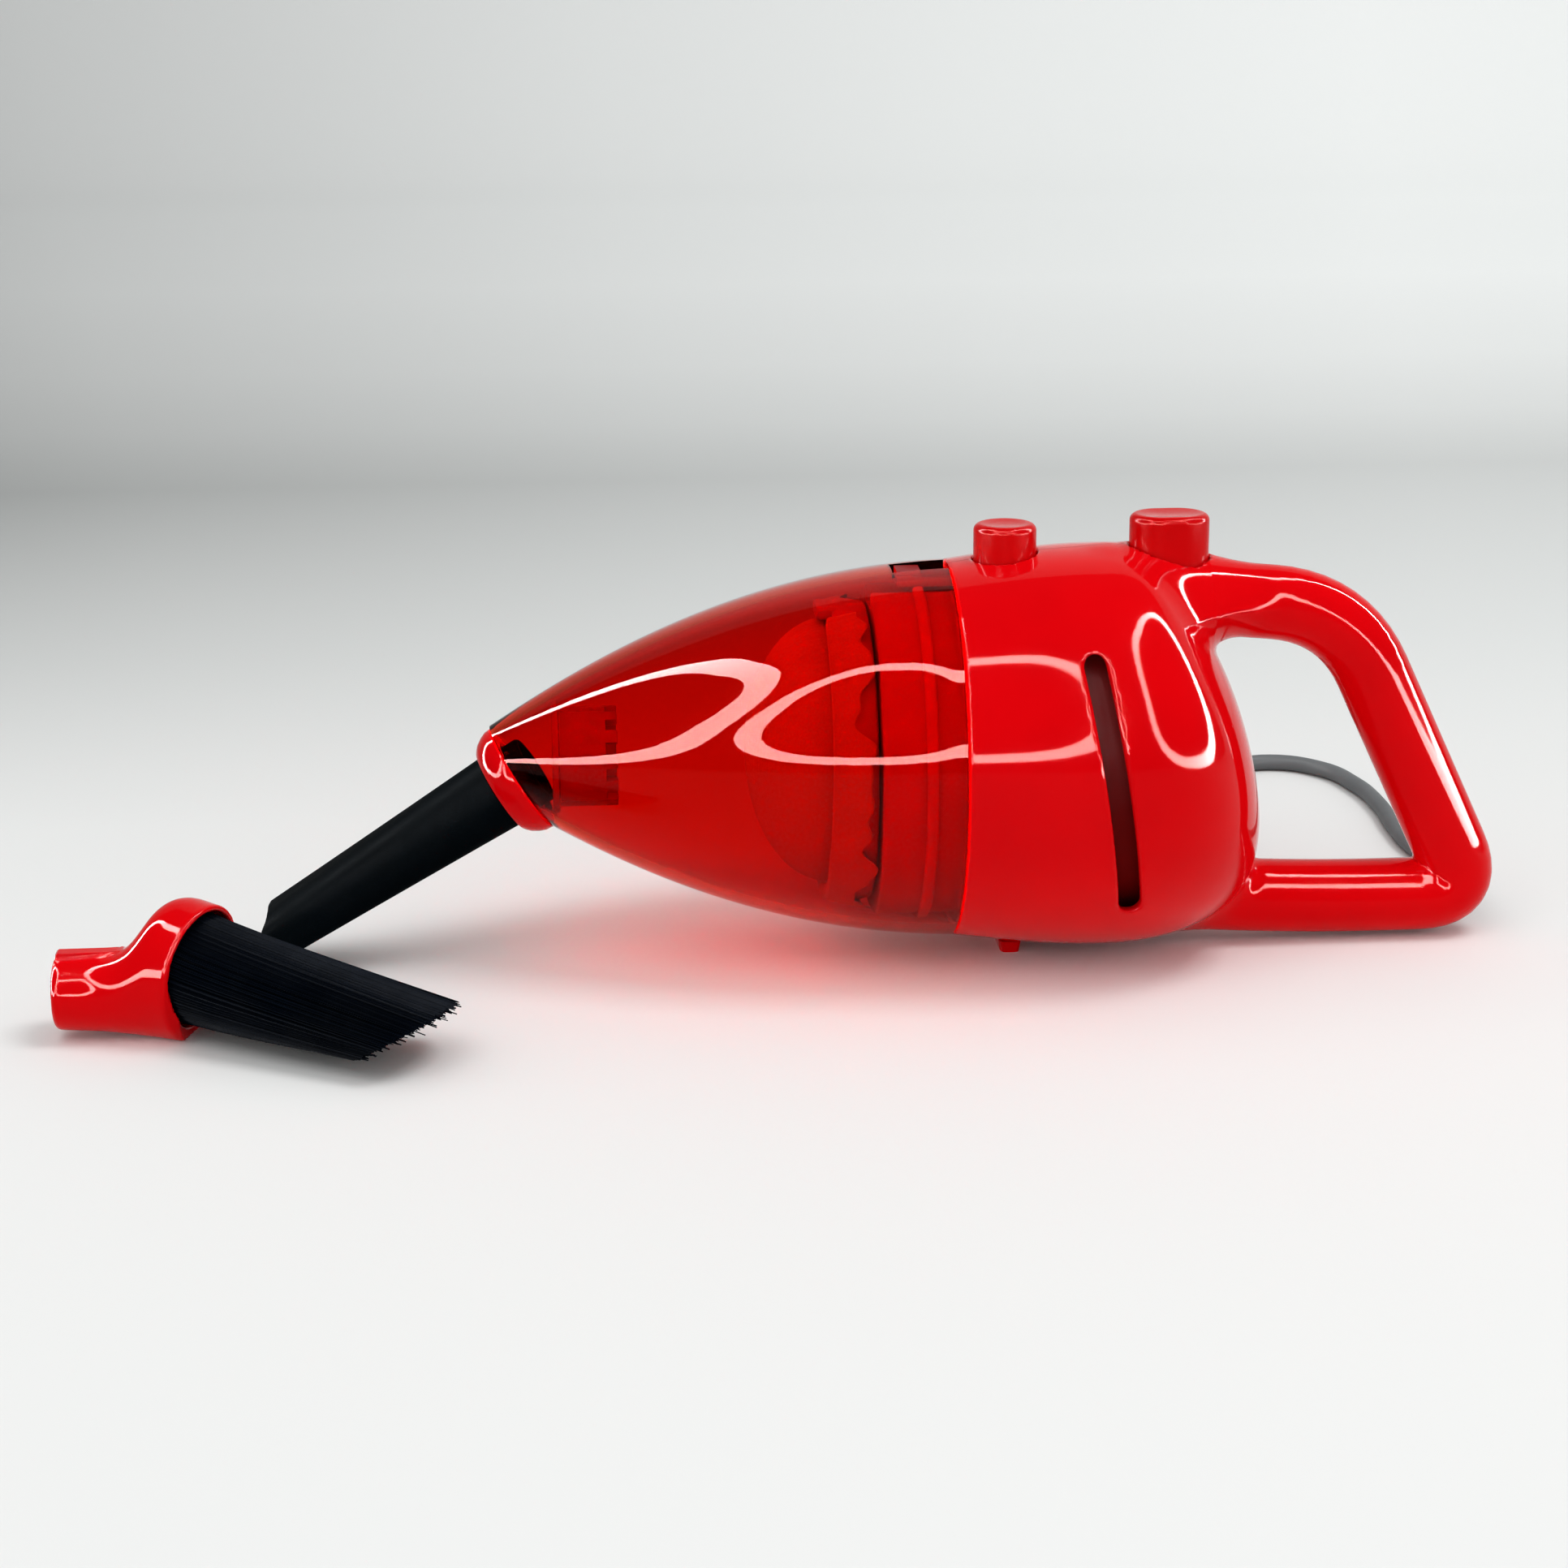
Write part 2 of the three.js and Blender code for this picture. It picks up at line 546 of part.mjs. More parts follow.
function brushBristles() {
  const side = vec(0, 0, 1).cross(brush.direction).normalize();
  const upright = brush.direction.clone().cross(side).normalize();
  const start = behindMouth(3.8);
  const steps = 8;
  const rings = Array.from({ length: steps + 1 }, (_, i) => {
    const t = i / steps;
    const centre = start.clone().addScaledVector(brush.direction, 40 * t);
    centre.z = THREE.MathUtils.lerp(start.z, 5.3, t ** 0.8);
    const [halfWide, halfTall] = [8.6 + 1.6 * t, 8.6 - 3.6 * t ** 1.1];
    const slant = 1.15 * t * t;
    return Array.from({ length: 28 }, (_, j) => {
      const angle = (j / 28) * Math.PI * 2;
      const rise = halfTall * Math.cos(angle);
      const point = centre.clone().addScaledVector(side, halfWide * Math.sin(angle));
      return point.addScaledVector(upright, rise).addScaledVector(brush.direction, slant * rise);
    });
  });
  return loft(rings).trimByPlane([0, 0, 1], 0.1);
}

add('brush_bristles', brushBristles(), 'bristle');

// ---------------------------------------------------------------- cord, coil and plug

add('strain_relief', cut(
  rod(cordExit.from.clone().addScaledVector(exitDirection, 3), cordExit.to, 2.8, 20, 2.1),
  rod(cordExit.from, cordExit.to.clone().add(exitDirection), cord.radius + GAP, 12),
), 'rubber');

const leadRoute = [
  cordExit.to.clone().addScaledVector(exitDirection, 0.3), vec(81.6, 16.5, 3.4), vec(82.2, 22, 2.1),
  vec(81, 31, 1.6), vec(78.8, 42.5, 1.6), vec(78.8, 55, 1.6), vec(79.6, 68, 1.6), vec(78.6, 82, 1.6),
  vec(74.4, 94, 1.6), vec(66, 99.4, 1.6), vec(57.4, 96.4, 1.6), vec(51.4, 88.6, 1.6), vec(47.6, 79, 1.6),
  vec(46, 69, 1.6),
];
add('cord_lead', bar(new THREE.CatmullRomCurve3(leadRoute), cord.radius, 44, 8), 'cordGrey');

const coilRing = new THREE.LatheGeometry([
  [cord.coilMidR - cord.coilHalf, 0.1], [cord.coilMidR + cord.coilHalf, 0.1],
  [cord.coilMidR + cord.coilHalf, cord.coilTop], [cord.coilMidR - cord.coilHalf, cord.coilTop],
  [cord.coilMidR - cord.coilHalf, 0.1],
].map(([r, z]) => new THREE.Vector2(r, z)), 40).rotateX(Math.PI / 2);
const coilMesh = solid(coilRing).volume() > 0 ? coilRing : coilRing.scale(1, -1, 1);
add('cord_coil', solid(coilMesh), 'cordGrey').position.set(cord.coilX, cord.coilY, 0);

const tailRoute = [
  vec(-6, 70, 4.6), vec(-6.2, 78, 3), vec(-5.6, 86, 1.8), vec(-3.6, 93, 1.8), vec(-2.4, 99, 3), vec(-2, 105.4, 4.1),
];
add('cord_tail', bar(new THREE.CatmullRomCurve3(tailRoute), cord.radius, 12, 8), 'cordGrey');

// The tie bridges the coil on its side nearest the plug, standing on the table at both ends.
const tieWidth = 5;
const tie = cut(
  block([-cord.coilHalf - 1.4, -tieWidth / 2, 0.05], [cord.coilHalf + 1.4, tieWidth / 2, cord.coilTop + 1.4]),
  block([-cord.coilHalf - GAP, -tieWidth, -1], [cord.coilHalf + GAP, tieWidth, cord.coilTop + GAP]),
);
const tieMesh = add('coil_tie', tie, 'blackWire');
tieMesh.position.set(cord.coilX, cord.coilY + cord.coilMidR, 0);
tieMesh.rotation.z = Math.PI / 2;

const plug = new THREE.Group();
plug.position.set(-2, 105.7, 4.1);
model.add(plug);
const plugSkin = [[0, 2.3, 2.3, 2], [3, 2.8, 2.8, 2], [4.5, 6.6, 3.9, 4], [22, 7.4, 3.9, 4]];
const plugBody = loft(plugSkin.map(([x, halfY, halfZ, squareness]) =>
  crossRing(x, halfY, halfZ, { sides: 28, power: squareness })));
add('plug_body', plugBody.rotate([0, 0, 90]), 'blackWire', plug);
const plugShell = cut(block([-6, 22.2, -2.25], [6, 34.2, 2.25]), block([-5.6, 22.6, -1.85], [5.6, 40, 1.85]));
add('plug_shell', plugShell, 'steel', plug);
add('plug_tongue', block([-5.3, 23, -1.5], [5.3, 33.6, 0.2]), 'whitePlastic', plug);

export default model;
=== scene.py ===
"""A small corded hand vacuum: the looks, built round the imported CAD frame.

Shapes are worked out in millimetres in the part's own frame (+X to the handle, +Z up, halves meeting at
y = 0) and scaled to metres when a mesh is made.
"""
import json
import math
import random

import bmesh
import bpy
import numpy as np
from mathutils import Matrix, Vector


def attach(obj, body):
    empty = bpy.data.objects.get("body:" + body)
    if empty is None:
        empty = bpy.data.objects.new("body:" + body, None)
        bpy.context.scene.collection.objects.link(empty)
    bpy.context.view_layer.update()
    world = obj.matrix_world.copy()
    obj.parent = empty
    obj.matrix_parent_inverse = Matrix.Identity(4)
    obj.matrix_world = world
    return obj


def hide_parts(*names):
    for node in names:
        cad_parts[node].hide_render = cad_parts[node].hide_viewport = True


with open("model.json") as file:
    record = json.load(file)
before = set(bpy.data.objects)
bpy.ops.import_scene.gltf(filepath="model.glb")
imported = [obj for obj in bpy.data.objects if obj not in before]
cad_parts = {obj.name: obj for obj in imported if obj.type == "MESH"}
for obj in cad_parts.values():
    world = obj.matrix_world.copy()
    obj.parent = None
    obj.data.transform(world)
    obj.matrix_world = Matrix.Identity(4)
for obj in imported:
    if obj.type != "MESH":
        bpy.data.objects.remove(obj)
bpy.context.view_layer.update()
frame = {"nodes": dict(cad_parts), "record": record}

MM = 0.001
AXIS_Z = 33.9
TURN = 2 * math.pi

BODY = {"front": -10.3, "shoulder": 14, "rear": 38.0, "front_r": 30.2, "max_r": 32.4,
        "lean": 0.24, "power": 2.4}
WALL = 2.0
HANDLE_R = 6.0
NECK = {"front": -23.0, "rear": -7.0, "radius": 26.5, "flange_r": 27.9,
        "channel_z": 57.4, "channel_half": 4.2}
BOWL_WALL = 1.6
BOWL_REAR = BODY["front"] - 0.3
NOZZLE = Vector((-78.2, 0, 30.8))
TOOL_TILT = math.radians(31.5)


def add_object(name, data):
    """A new object in the scene."""
    made = bpy.data.objects.new(name, data)
    bpy.context.scene.collection.objects.link(made)
    return made


def signed_power(value, power):
    """A power that keeps the value's sign, for outlines between an ellipse and a rectangle."""
    return math.copysign(abs(value) ** power, value)


# ---------------------------------------------------------------- camera

CAMERA_TARGET = Vector((-0.0358, 0.0099, 0.0255))


def add_camera():
    azimuth, elevation, roll = math.radians(-4.1), math.radians(16.0), math.radians(0.4)
    distance, lens, sensor, nearest = 0.52, 72.7, 36, 0.01
    back = Vector((math.sin(azimuth) * math.cos(elevation), -math.cos(azimuth) * math.cos(elevation),
                   math.sin(elevation)))
    data = bpy.data.cameras.new("camera")
    data.sensor_width = sensor
    data.lens = lens
    data.clip_start = nearest
    camera = add_object("camera", data)
    camera.location = CAMERA_TARGET + back * distance
    turn = back.to_track_quat("Z", "Y").to_matrix() @ Matrix.Rotation(-roll, 3, "Z")
    camera.rotation_euler = turn.to_euler()
    bpy.context.scene.camera = camera


add_camera()


# ---------------------------------------------------------------- materials

def material(name, color, roughness=0.4, **settings):
    """A Principled material; further settings are socket names with _ for each space."""
    made = bpy.data.materials.new(name)
    made.use_nodes = True
    shader = made.node_tree.nodes["Principled BSDF"]
    shader.inputs["Base Color"].default_value = (*color, 1)
    shader.inputs["Roughness"].default_value = roughness
    for key, value in settings.items():
        shader.inputs[key.replace("_", " ")].default_value = value
    return made


def add_node(made, kind, **settings):
    """A new node, with settings given to its sockets where it has them and else to the node itself."""
    node = made.node_tree.nodes.new(kind)
    for key, value in settings.items():
        if key in node.inputs:
            node.inputs[key].default_value = value
        else:
            setattr(node, key, value)
    return node


def texture(made, kind, **settings):
    """A texture node driven by the piece's own coordinates, in metres."""
    node = add_node(made, kind, **settings)
    where = add_node(made, "ShaderNodeTexCoord")
    made.node_tree.links.new(where.outputs["Object"], node.inputs["Vector"])
    return node


def drive(made, output, socket):
    """Feeds an output into a socket of the material's Principled shader."""
    made.node_tree.links.new(output, made.node_tree.nodes["Principled BSDF"].inputs[socket])


def vary(made, source, socket, low, high, start=0.3, end=0.7):
    """Runs a shader socket between low and high with a texture's value."""
    ramp = add_node(made, "ShaderNodeMapRange")
    for key, value in (("From Min", start), ("From Max", end), ("To Min", low), ("To Max", high)):
        ramp.inputs[key].default_value = value
    made.node_tree.links.new(source, ramp.inputs["Value"])
    drive(made, ramp.outputs["Result"], socket)


def tint(made, source, first, second, start=0.3, end=0.7):
    """Runs the base colour between two colours with a texture's value."""
    ramp = add_node(made, "ShaderNodeValToRGB")
    ramp.color_ramp.elements[0].position = start
    ramp.color_ramp.elements[0].color = (*first, 1)
    ramp.color_ramp.elements[1].position = end
    ramp.color_ramp.elements[1].color = (*second, 1)
    made.node_tree.links.new(source, ramp.inputs["Fac"])
    drive(made, ramp.outputs["Color"], "Base Color")


def bump(made, source, strength, distance):
    """Raises the surface by up to distance, in metres, with a texture's value."""
    node = add_node(made, "ShaderNodeBump", Strength=strength, Distance=distance)
    made.node_tree.links.new(source, node.inputs["Height"])
    drive(made, node.outputs["Normal"], "Normal")


def moulded(name, color, roughness, grain_scale, grain, shade=0.88, **settings):
    """Moulded plastic: a faint colour drift, a handled gloss and a fine surface texture."""
    made = material(name, color, roughness, **settings)
    drift = texture(made, "ShaderNodeTexNoise", Scale=45, Detail=3)
    tint(made, drift.outputs["Fac"], tuple(shade * c for c in color), color)
    handled = texture(made, "ShaderNodeTexNoise", Scale=160, Detail=5, Roughness=0.65)
    vary(made, handled.outputs["Fac"], "Roughness", roughness * 0.8, roughness * 1.35)
    fine = texture(made, "ShaderNodeTexNoise", Scale=grain_scale, Detail=2)
    bump(made, fine.outputs["Fac"], 1.0, grain)
    return made


def brushed(name, color, roughness):
    """Metal with fine lines along X."""
    made = material(name, color, roughness, Metallic=1.0)
    stretch = (40, 4000, 4000)
    lines = add_node(made, "ShaderNodeTexNoise", Scale=1.0, Detail=4)
    where = add_node(made, "ShaderNodeTexCoord")
    scale = add_node(made, "ShaderNodeMapping")
    scale.inputs["Scale"].default_value = stretch
    made.node_tree.links.new(where.outputs["Object"], scale.inputs["Vector"])
    made.node_tree.links.new(scale.outputs["Vector"], lines.inputs["Vector"])
    vary(made, lines.outputs["Fac"], "Roughness", roughness * 0.7, roughness * 1.4)
    bump(made, lines.outputs["Fac"], 0.4, 0.00002)
    return made


def clear_plastic(name, color, shadow):
    """Tinted clear plastic that lets light through to what it covers."""
    made = material(name, color, 0.02, Transmission_Weight=1.0, IOR=1.2, Specular_Tint=PINK)
    smear = texture(made, "ShaderNodeTexNoise", Scale=90, Detail=5, Roughness=0.6)
    vary(made, smear.outputs["Fac"], "Roughness", 0.0, 0.045)
    wave = texture(made, "ShaderNodeTexNoise", Scale=60, Detail=1)
    bump(made, wave.outputs["Fac"], 1.0, 0.00003)
    tree = made.node_tree
    path = add_node(made, "ShaderNodeLightPath")
    through = add_node(made, "ShaderNodeBsdfTransparent", Color=(*shadow, 1))
    mix = add_node(made, "ShaderNodeMixShader")
    tree.links.new(path.outputs["Is Shadow Ray"], mix.inputs["Fac"])
    tree.links.new(tree.nodes["Principled BSDF"].outputs["BSDF"], mix.inputs[1])
    tree.links.new(through.outputs["BSDF"], mix.inputs[2])
    tree.links.new(mix.outputs["Shader"], tree.nodes["Material Output"].inputs["Surface"])
    return made


def non_woven(name, color):
    """Filter cloth: pressed fibres with a regular field of small bonded dots."""
    made = material(name, color, 0.9, Sheen_Weight=0.15, Specular_IOR_Level=0.2)
    fibres = texture(made, "ShaderNodeTexNoise", Scale=2600, Detail=6, Roughness=0.7)
    dots = texture(made, "ShaderNodeTexVoronoi", Scale=900, Randomness=0.15)
    tint(made, fibres.outputs["Fac"], tuple(0.8 * c for c in color), color)
    height = add_node(made, "ShaderNodeMath", operation="ADD")
    made.node_tree.links.new(fibres.outputs["Fac"], height.inputs[0])
    made.node_tree.links.new(dots.outputs["Distance"], height.inputs[1])
    bump(made, height.outputs["Value"], 0.8, 0.00012)
    return made


# The lamps that show as reflections are strong, so each finish mirrors only a small share of them.
RED = (0.70, 0.0008, 0.003)
RED_DEEP = (0.25, 0.0014, 0.003)
PINK = (1.0, 0.34, 0.32, 1.0)
FAINT = 0.025
looks = {
    "red_gloss": moulded("red gloss plastic", RED, 0.05, 400, 0.000002, Specular_Tint=PINK,
                         Specular_IOR_Level=0.1),
    "red_matt": moulded("red satin plastic", RED_DEEP, 0.32, 3000, 0.00001, Specular_Tint=PINK,
                        Specular_IOR_Level=FAINT),
    "red_knob": moulded("red knob plastic", (0.58, 0.0008, 0.002), 0.14, 900, 0.000004, Specular_Tint=PINK,
                        Specular_IOR_Level=0.06),
    # Painted shade: a dark red for the plates behind the vent slots, standing in for the slots' shadowed
    # inside.
    "red_shade": moulded("dark red painted slot shade", (0.16, 0.001, 0.001), 0.5, 2500, 0.00001,
                         Specular_IOR_Level=0.02),
    "red_smoke": moulded("dense clear red plastic", (0.24, 0.002, 0.002), 0.12, 900, 0.000004,
                         Transmission_Weight=0.3, Specular_Tint=PINK),
    "red_clear": clear_plastic("clear red plastic", (0.76, 0.035, 0.006), (0.22, 0.07, 0.065)),
    "black_tool": moulded("black tool plastic", (0.0016, 0.0035, 0.005), 0.46, 2600, 0.00003, shade=0.6,
                          Specular_IOR_Level=0.003),
    "bristle": moulded("black bristle", (0.0015, 0.0035, 0.008), 0.45, 3000, 0.00001, shade=0.5,
                       Specular_IOR_Level=0.006),
    "filter_cloth": non_woven("filter cloth", (0.25, 0.22, 0.21)),
    "steel": brushed("steel", (0.15, 0.155, 0.16), 0.3),
    "zinc_steel": brushed("plated steel", (0.22, 0.225, 0.23), 0.3),
}
for slot_name, label, color, roughness, grain_scale, grain, shade in (
        ("black_rubber", "black rubber", (0.012, 0.012, 0.013), 0.6, 2500, 0.00003, 0.7),
        ("red_silicone", "red silicone", (0.3, 0.012, 0.01), 0.5, 1500, 0.00002, 0.88),
        ("grey_cord", "grey cord", (0.15, 0.16, 0.165), 0.42, 1800, 0.00003, 0.8),
        ("white_plastic", "natural plastic", (0.75, 0.73, 0.69), 0.4, 2500, 0.00002, 0.88),
        ("board", "circuit board", (0.02, 0.12, 0.045), 0.35, 2500, 0.00002, 0.6),
        ("black_plastic", "black plastic", (0.012, 0.012, 0.014), 0.38, 2600, 0.00003, 0.7),
        ("red_wire", "red wire", (0.42, 0.01, 0.01), 0.4, 2500, 0.00002, 0.88),
        ("black_wire", "black wire", (0.012, 0.012, 0.012), 0.4, 2500, 0.00002, 0.88)):
    looks[slot_name] = moulded(label, color, roughness, grain_scale, grain, shade, Specular_IOR_Level=FAINT)


# ---------------------------------------------------------------- mesh helpers

def make(name, points, faces, look, body, replaces=(), normals=None, sharp=35, slot=None):
    """A finished piece: points in millimetres, a look, a body to ride on and the nodes it stands for.

    Without normals the mesh is cleaned up and shaded smooth up to the sharp angle, in degrees.
    """
    mesh = bpy.data.meshes.new(name)
    mesh.from_pydata((np.asarray(points, float) * MM).tolist(), [], [list(map(int, face)) for face in faces])
    mesh.validate()
    if normals is None:
        tidy = bmesh.new()
        tidy.from_mesh(mesh)
        bmesh.ops.remove_doubles(tidy, verts=tidy.verts, dist=1e-6)
        bmesh.ops.recalc_face_normals(tidy, faces=tidy.faces)
        tidy.to_mesh(mesh)
        tidy.free()
    mesh.shade_smooth()
    if normals is None:
        mesh.set_sharp_from_angle(angle=math.radians(sharp))
    else:
        mesh.normals_split_custom_set_from_vertices(normals.tolist())
    return finish_piece(name, mesh, look, body, replaces)


def finish_piece(name, data, look, body, replaces=()):
    """Puts a mesh or curve into the scene on its body, with its look."""
    piece = add_object(name, data)
    data.materials.append(looks[look])
    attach(piece, body)
    if replaces:
        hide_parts(*replaces)
    return piece


def ring_faces(rings, count, close=False, first=0):
    """Quads that join successive rings of the same count, as a tube, or as a closed loop of rings."""
    faces = []
    for i in range(rings if close else rings - 1):
        a0, b0 = first + i * count, first + ((i + 1) % rings) * count
        for j in range(count):
            k = (j + 1) % count
            faces.append((a0 + j, a0 + k, b0 + k, b0 + j))
    return faces


def skin(rings, close=False):
    """Points and faces of a solid skinned over rings: capped at both ends, or closed on itself."""
    count = len(rings[0])
    points = np.concatenate([np.asarray(ring, float) for ring in rings])
    faces = ring_faces(len(rings), count, close)
    if not close:
        faces.append(tuple(range(count - 1, -1, -1)))
        faces.append(tuple(range((len(rings) - 1) * count, len(rings) * count)))
    return points, faces


def rounded(outline, radius, steps=4):
    """A closed outline with each corner rounded off by up to radius."""
    points = [Vector(p) for p in outline]
    result = []
    for i, corner in enumerate(points):
        into, out = points[i - 1] - corner, points[(i + 1) % len(points)] - corner
        reach = min(radius, into.length * 0.45, out.length * 0.45)
        start, end = corner + into.normalized() * reach, corner + out.normalized() * reach
        for k in range(steps + 1):
            t = k / steps
            result.append(tuple(start * (1 - t) ** 2 + corner * 2 * t * (1 - t) + end * t * t))
    return result


def turned_x(outline, sides=128):
    """A closed [x, r] outline turned about the vacuum's axis."""
    angles = [TURN * j / sides for j in range(sides)]
    rings = [[(x, r * math.sin(a), AXIS_Z + r * math.cos(a)) for a in angles] for x, r in outline]
    return skin(rings, close=True)


# ---------------------------------------------------------------- shapes given by a distance field

def smooth_union(a, b, size):
    """Two fields joined, with a fillet of about size where they meet."""
    blend = np.maximum(size - np.abs(a - b), 0) / size
    return np.minimum(a, b) - blend * blend * size * 0.25


def smooth_cut(a, hole, size):
    """Field a less the hole, with its edge eased by about size."""
    return -smooth_union(-a, hole, size)


def path_points(corners, steps=10):
    """Straight runs joined by rounded corners: each corner is [x, z, size of the rounding]."""
    places = [Vector(corner[:2]) for corner in corners]
    result = [places[0]]
    for i in range(1, len(corners) - 1):
        corner, size = places[i], corners[i][2]
        start = corner + (places[i - 1] - corner).normalized() * size
        end = corner + (places[i + 1] - corner).normalized() * size
        for k in range(steps + 1):
            t = k / steps
            result.append(start * (1 - t) ** 2 + corner * 2 * t * (1 - t) + end * t * t)
    return result + [places[-1]]


def path_distance(x, z, points):
    """Distance in the XZ plane to a run of straight pieces."""
    nearest = None
    for a, b in zip(points, points[1:]):
        run = b - a
        t = np.clip(((x - a.x) * run.x + (z - a.y) * run.y) / run.length_squared, 0, 1)
        away = np.hypot(x - a.x - t * run.x, z - a.y - t * run.y)
        nearest = away if nearest is None else np.minimum(nearest, away)
    return nearest


def surface_net(field, low, step):
    """Vertices and quads of the surface where a sampled field is zero, negative inside."""
    inside = field < 0
    shape = tuple(n - 1 for n in field.shape)
    total, count = np.zeros(shape + (3,)), np.zeros(shape)

    def window(values, offset):
        return values[tuple(slice(o, o + n) for o, n in zip(offset, shape))]

    for axis in range(3):
        others = [k for k in range(3) if k != axis]
        for a in (0, 1):
            for b in (0, 1):
                start = [0, 0, 0]
                start[others[0]], start[others[1]] = a, b
                end = list(start)
                end[axis] = 1
                f0, f1 = window(field, start), window(field, end)
                crossing = window(inside, start) != window(inside, end)
                share = np.where(crossing, f0 / np.where(crossing, f0 - f1, 1), 0)
                for k in range(3):
                    total[..., k] += crossing * (start[k] + (share if k == axis else 0))
                count += crossing
    used = count > 0
    number = np.full(shape, -1)
    number[used] = np.arange(used.sum())
    cells = np.argwhere(used)
    points = (cells + total[used] / count[used][:, None]) * step + np.array(low)
    faces = []
    for axis in range(3):
        u, v = (axis + 1) % 3, (axis + 2) % 3
        lead, tail = [slice(None)] * 3, [slice(None)] * 3
        lead[axis], tail[axis] = slice(1, None), slice(None, -1)
        first, second = inside[tuple(tail)], inside[tuple(lead)]
        edges = np.argwhere(first != second)
        keep = (edges[:, u] > 0) & (edges[:, v] > 0) & (edges[:, u] < shape[u]) & (edges[:, v] < shape[v])
        edges = edges[keep]
        outwards = first[tuple(edges.T)]
        corners = []
        for du, dv in ((-1, -1), (0, -1), (0, 0), (-1, 0)):
            cell = edges.copy()
            cell[:, u] += du
            cell[:, v] += dv
            corners.append(number[tuple(cell.T)])
        quads = np.stack(corners, 1)
        quads[~outwards] = quads[~outwards][:, ::-1]
        faces.append(quads)
    return points, np.concatenate(faces)


def gradient(field, points, reach=0.02):
    """The field's slope at each point, by small steps."""
    slope = np.zeros_like(points)
    for k in range(3):
        step = np.zeros(3)
        step[k] = reach
        slope[:, k] = (field(*(points + step).T) - field(*(points - step).T)) / (2 * reach)
    return slope


def carve(field, low, high, step):
    """A mesh of the field's zero surface, drawn onto it exactly, with the field's own normals."""
    axes = [np.arange(a, b + step, step) for a, b in zip(low, high)]
    x, y, z = axes[0][:, None, None], axes[1][None, :, None], axes[2][None, None, :]
    grid = np.broadcast_to(field(x, y, z), [len(a) for a in axes])
    points, faces = surface_net(grid, low, step)
    for _ in range(4):
        slope = gradient(field, points)
        size = np.maximum((slope ** 2).sum(1), 0.2)
        move = slope * (field(*points.T) / size)[:, None]
        points = points - np.clip(move, -0.4 * step, 0.4 * step)
    slope = gradient(field, points)
    normals = slope / np.maximum(np.linalg.norm(slope, axis=1), 1e-6)[:, None]
    return points, faces, normals


# ---------------------------------------------------------------- housing

HANDLE_PATH = path_points([[16, 58.9], [53.8, 55.5, 12], [77, 6.7, 9], [50, 6.7, 12], [14, 9]])
VENT = [Vector((9.3, 52.8)), Vector((15.4, 15.2))]
VENT_HALF = 1.7
SCREWS = [(31, 14), (14.6, 56.6), (50.4, 53.5), (63.6, 35)]
EXIT_FROM, EXIT_TO = Vector((74, 0.6, 8.9)), Vector((79.4, 10.6, 5.8))
RELEASE_X, POWER_X = -1.2, 25.1
POWER_HALF_FLAT = 1.35
KNOB_R = 5.0


def body_field(x, y, z, inset=0.0):
    """The body's skin moved inwards by inset: a barrel with a leaning, rounded rear end."""
    up = z - AXIS_Z
    radius = np.sqrt(y * y + up * up)
    length = BODY["rear"] - inset - BODY["shoulder"]
    station = x
    for _ in range(4):
        u = np.clip((station - BODY["shoulder"]) / length, 0, 1)
        station = x + BODY["lean"] * u * u * (3 - 2 * u) * up
    u = np.maximum((station - BODY["shoulder"]) / length, 0)
    swell = np.clip((station - BODY["front"]) / (BODY["shoulder"] - BODY["front"]), 0, 1)
    barrel = BODY["front_r"] + (BODY["max_r"] - BODY["front_r"]) * np.sin(swell * math.pi / 2) - inset
    dome = ((u ** BODY["power"] + (radius / barrel) ** BODY["power"]) ** (1 / BODY["power"]) - 1) * barrel
    return np.where(u > 0, dome, radius - barrel)


def pillar_distance(x, y, centre_x, half_flat):
    """Distance across to an upright oval post's middle line."""
    return np.hypot(np.maximum(np.abs(x - centre_x) - half_flat, 0), y)


def housing_field(x, y, z):
    """The hollow body and handle bar, with screw posts, vent slots, knob holes and the lead's exit."""
    post_r, recess_r, recess_floor, knob_gap, exit_r = 4, 2.7, 2.3, 0.25, 3.0
    handle = np.hypot(path_distance(x, z, HANDLE_PATH), y) - HANDLE_R
    # A tight fillet all round the bar, and a wide one where it runs on from the top of the body.
    fillet = 3.5 + 15 * np.clip((x - 17) / 14, 0, 1) * np.clip((z - 49.5) / 7, 0, 1)
    outer = smooth_union(body_field(x, y, z), handle, fillet)
    shell = np.maximum(outer, -body_field(x, y, z, WALL))
    for px, pz in SCREWS:
        across = np.hypot(x - px, z - pz)
        shell = np.minimum(shell, np.maximum(across - post_r, outer + 0.5))
        shell = smooth_cut(shell, np.maximum(across - recess_r, recess_floor - y), 0.3)
    vent = path_distance(x, z, VENT) - VENT_HALF
    shell = smooth_cut(shell, np.maximum(vent, 8 - np.abs(y)), 0.7)
    for centre_x, half_flat in ((RELEASE_X, 0), (POWER_X, POWER_HALF_FLAT)):
        hole = np.maximum(pillar_distance(x, y, centre_x, half_flat) - KNOB_R - knob_gap, 56 - z)
        shell = smooth_cut(shell, hole, 0.35)
    run = (EXIT_TO - EXIT_FROM).normalized()
    along = [(v - o) * d for v, o, d in zip((x, y, z), EXIT_FROM, run)]
    t = np.maximum(along[0] + along[1] + along[2], 0)
    off = [v - o - t * d for v, o, d in zip((x, y, z), EXIT_FROM, run)]
    shell = smooth_cut(shell, np.sqrt(off[0] ** 2 + off[1] ** 2 + off[2] ** 2) - exit_r, 0.4)
    return smooth_cut(shell, x - BODY["front"], 0.4)


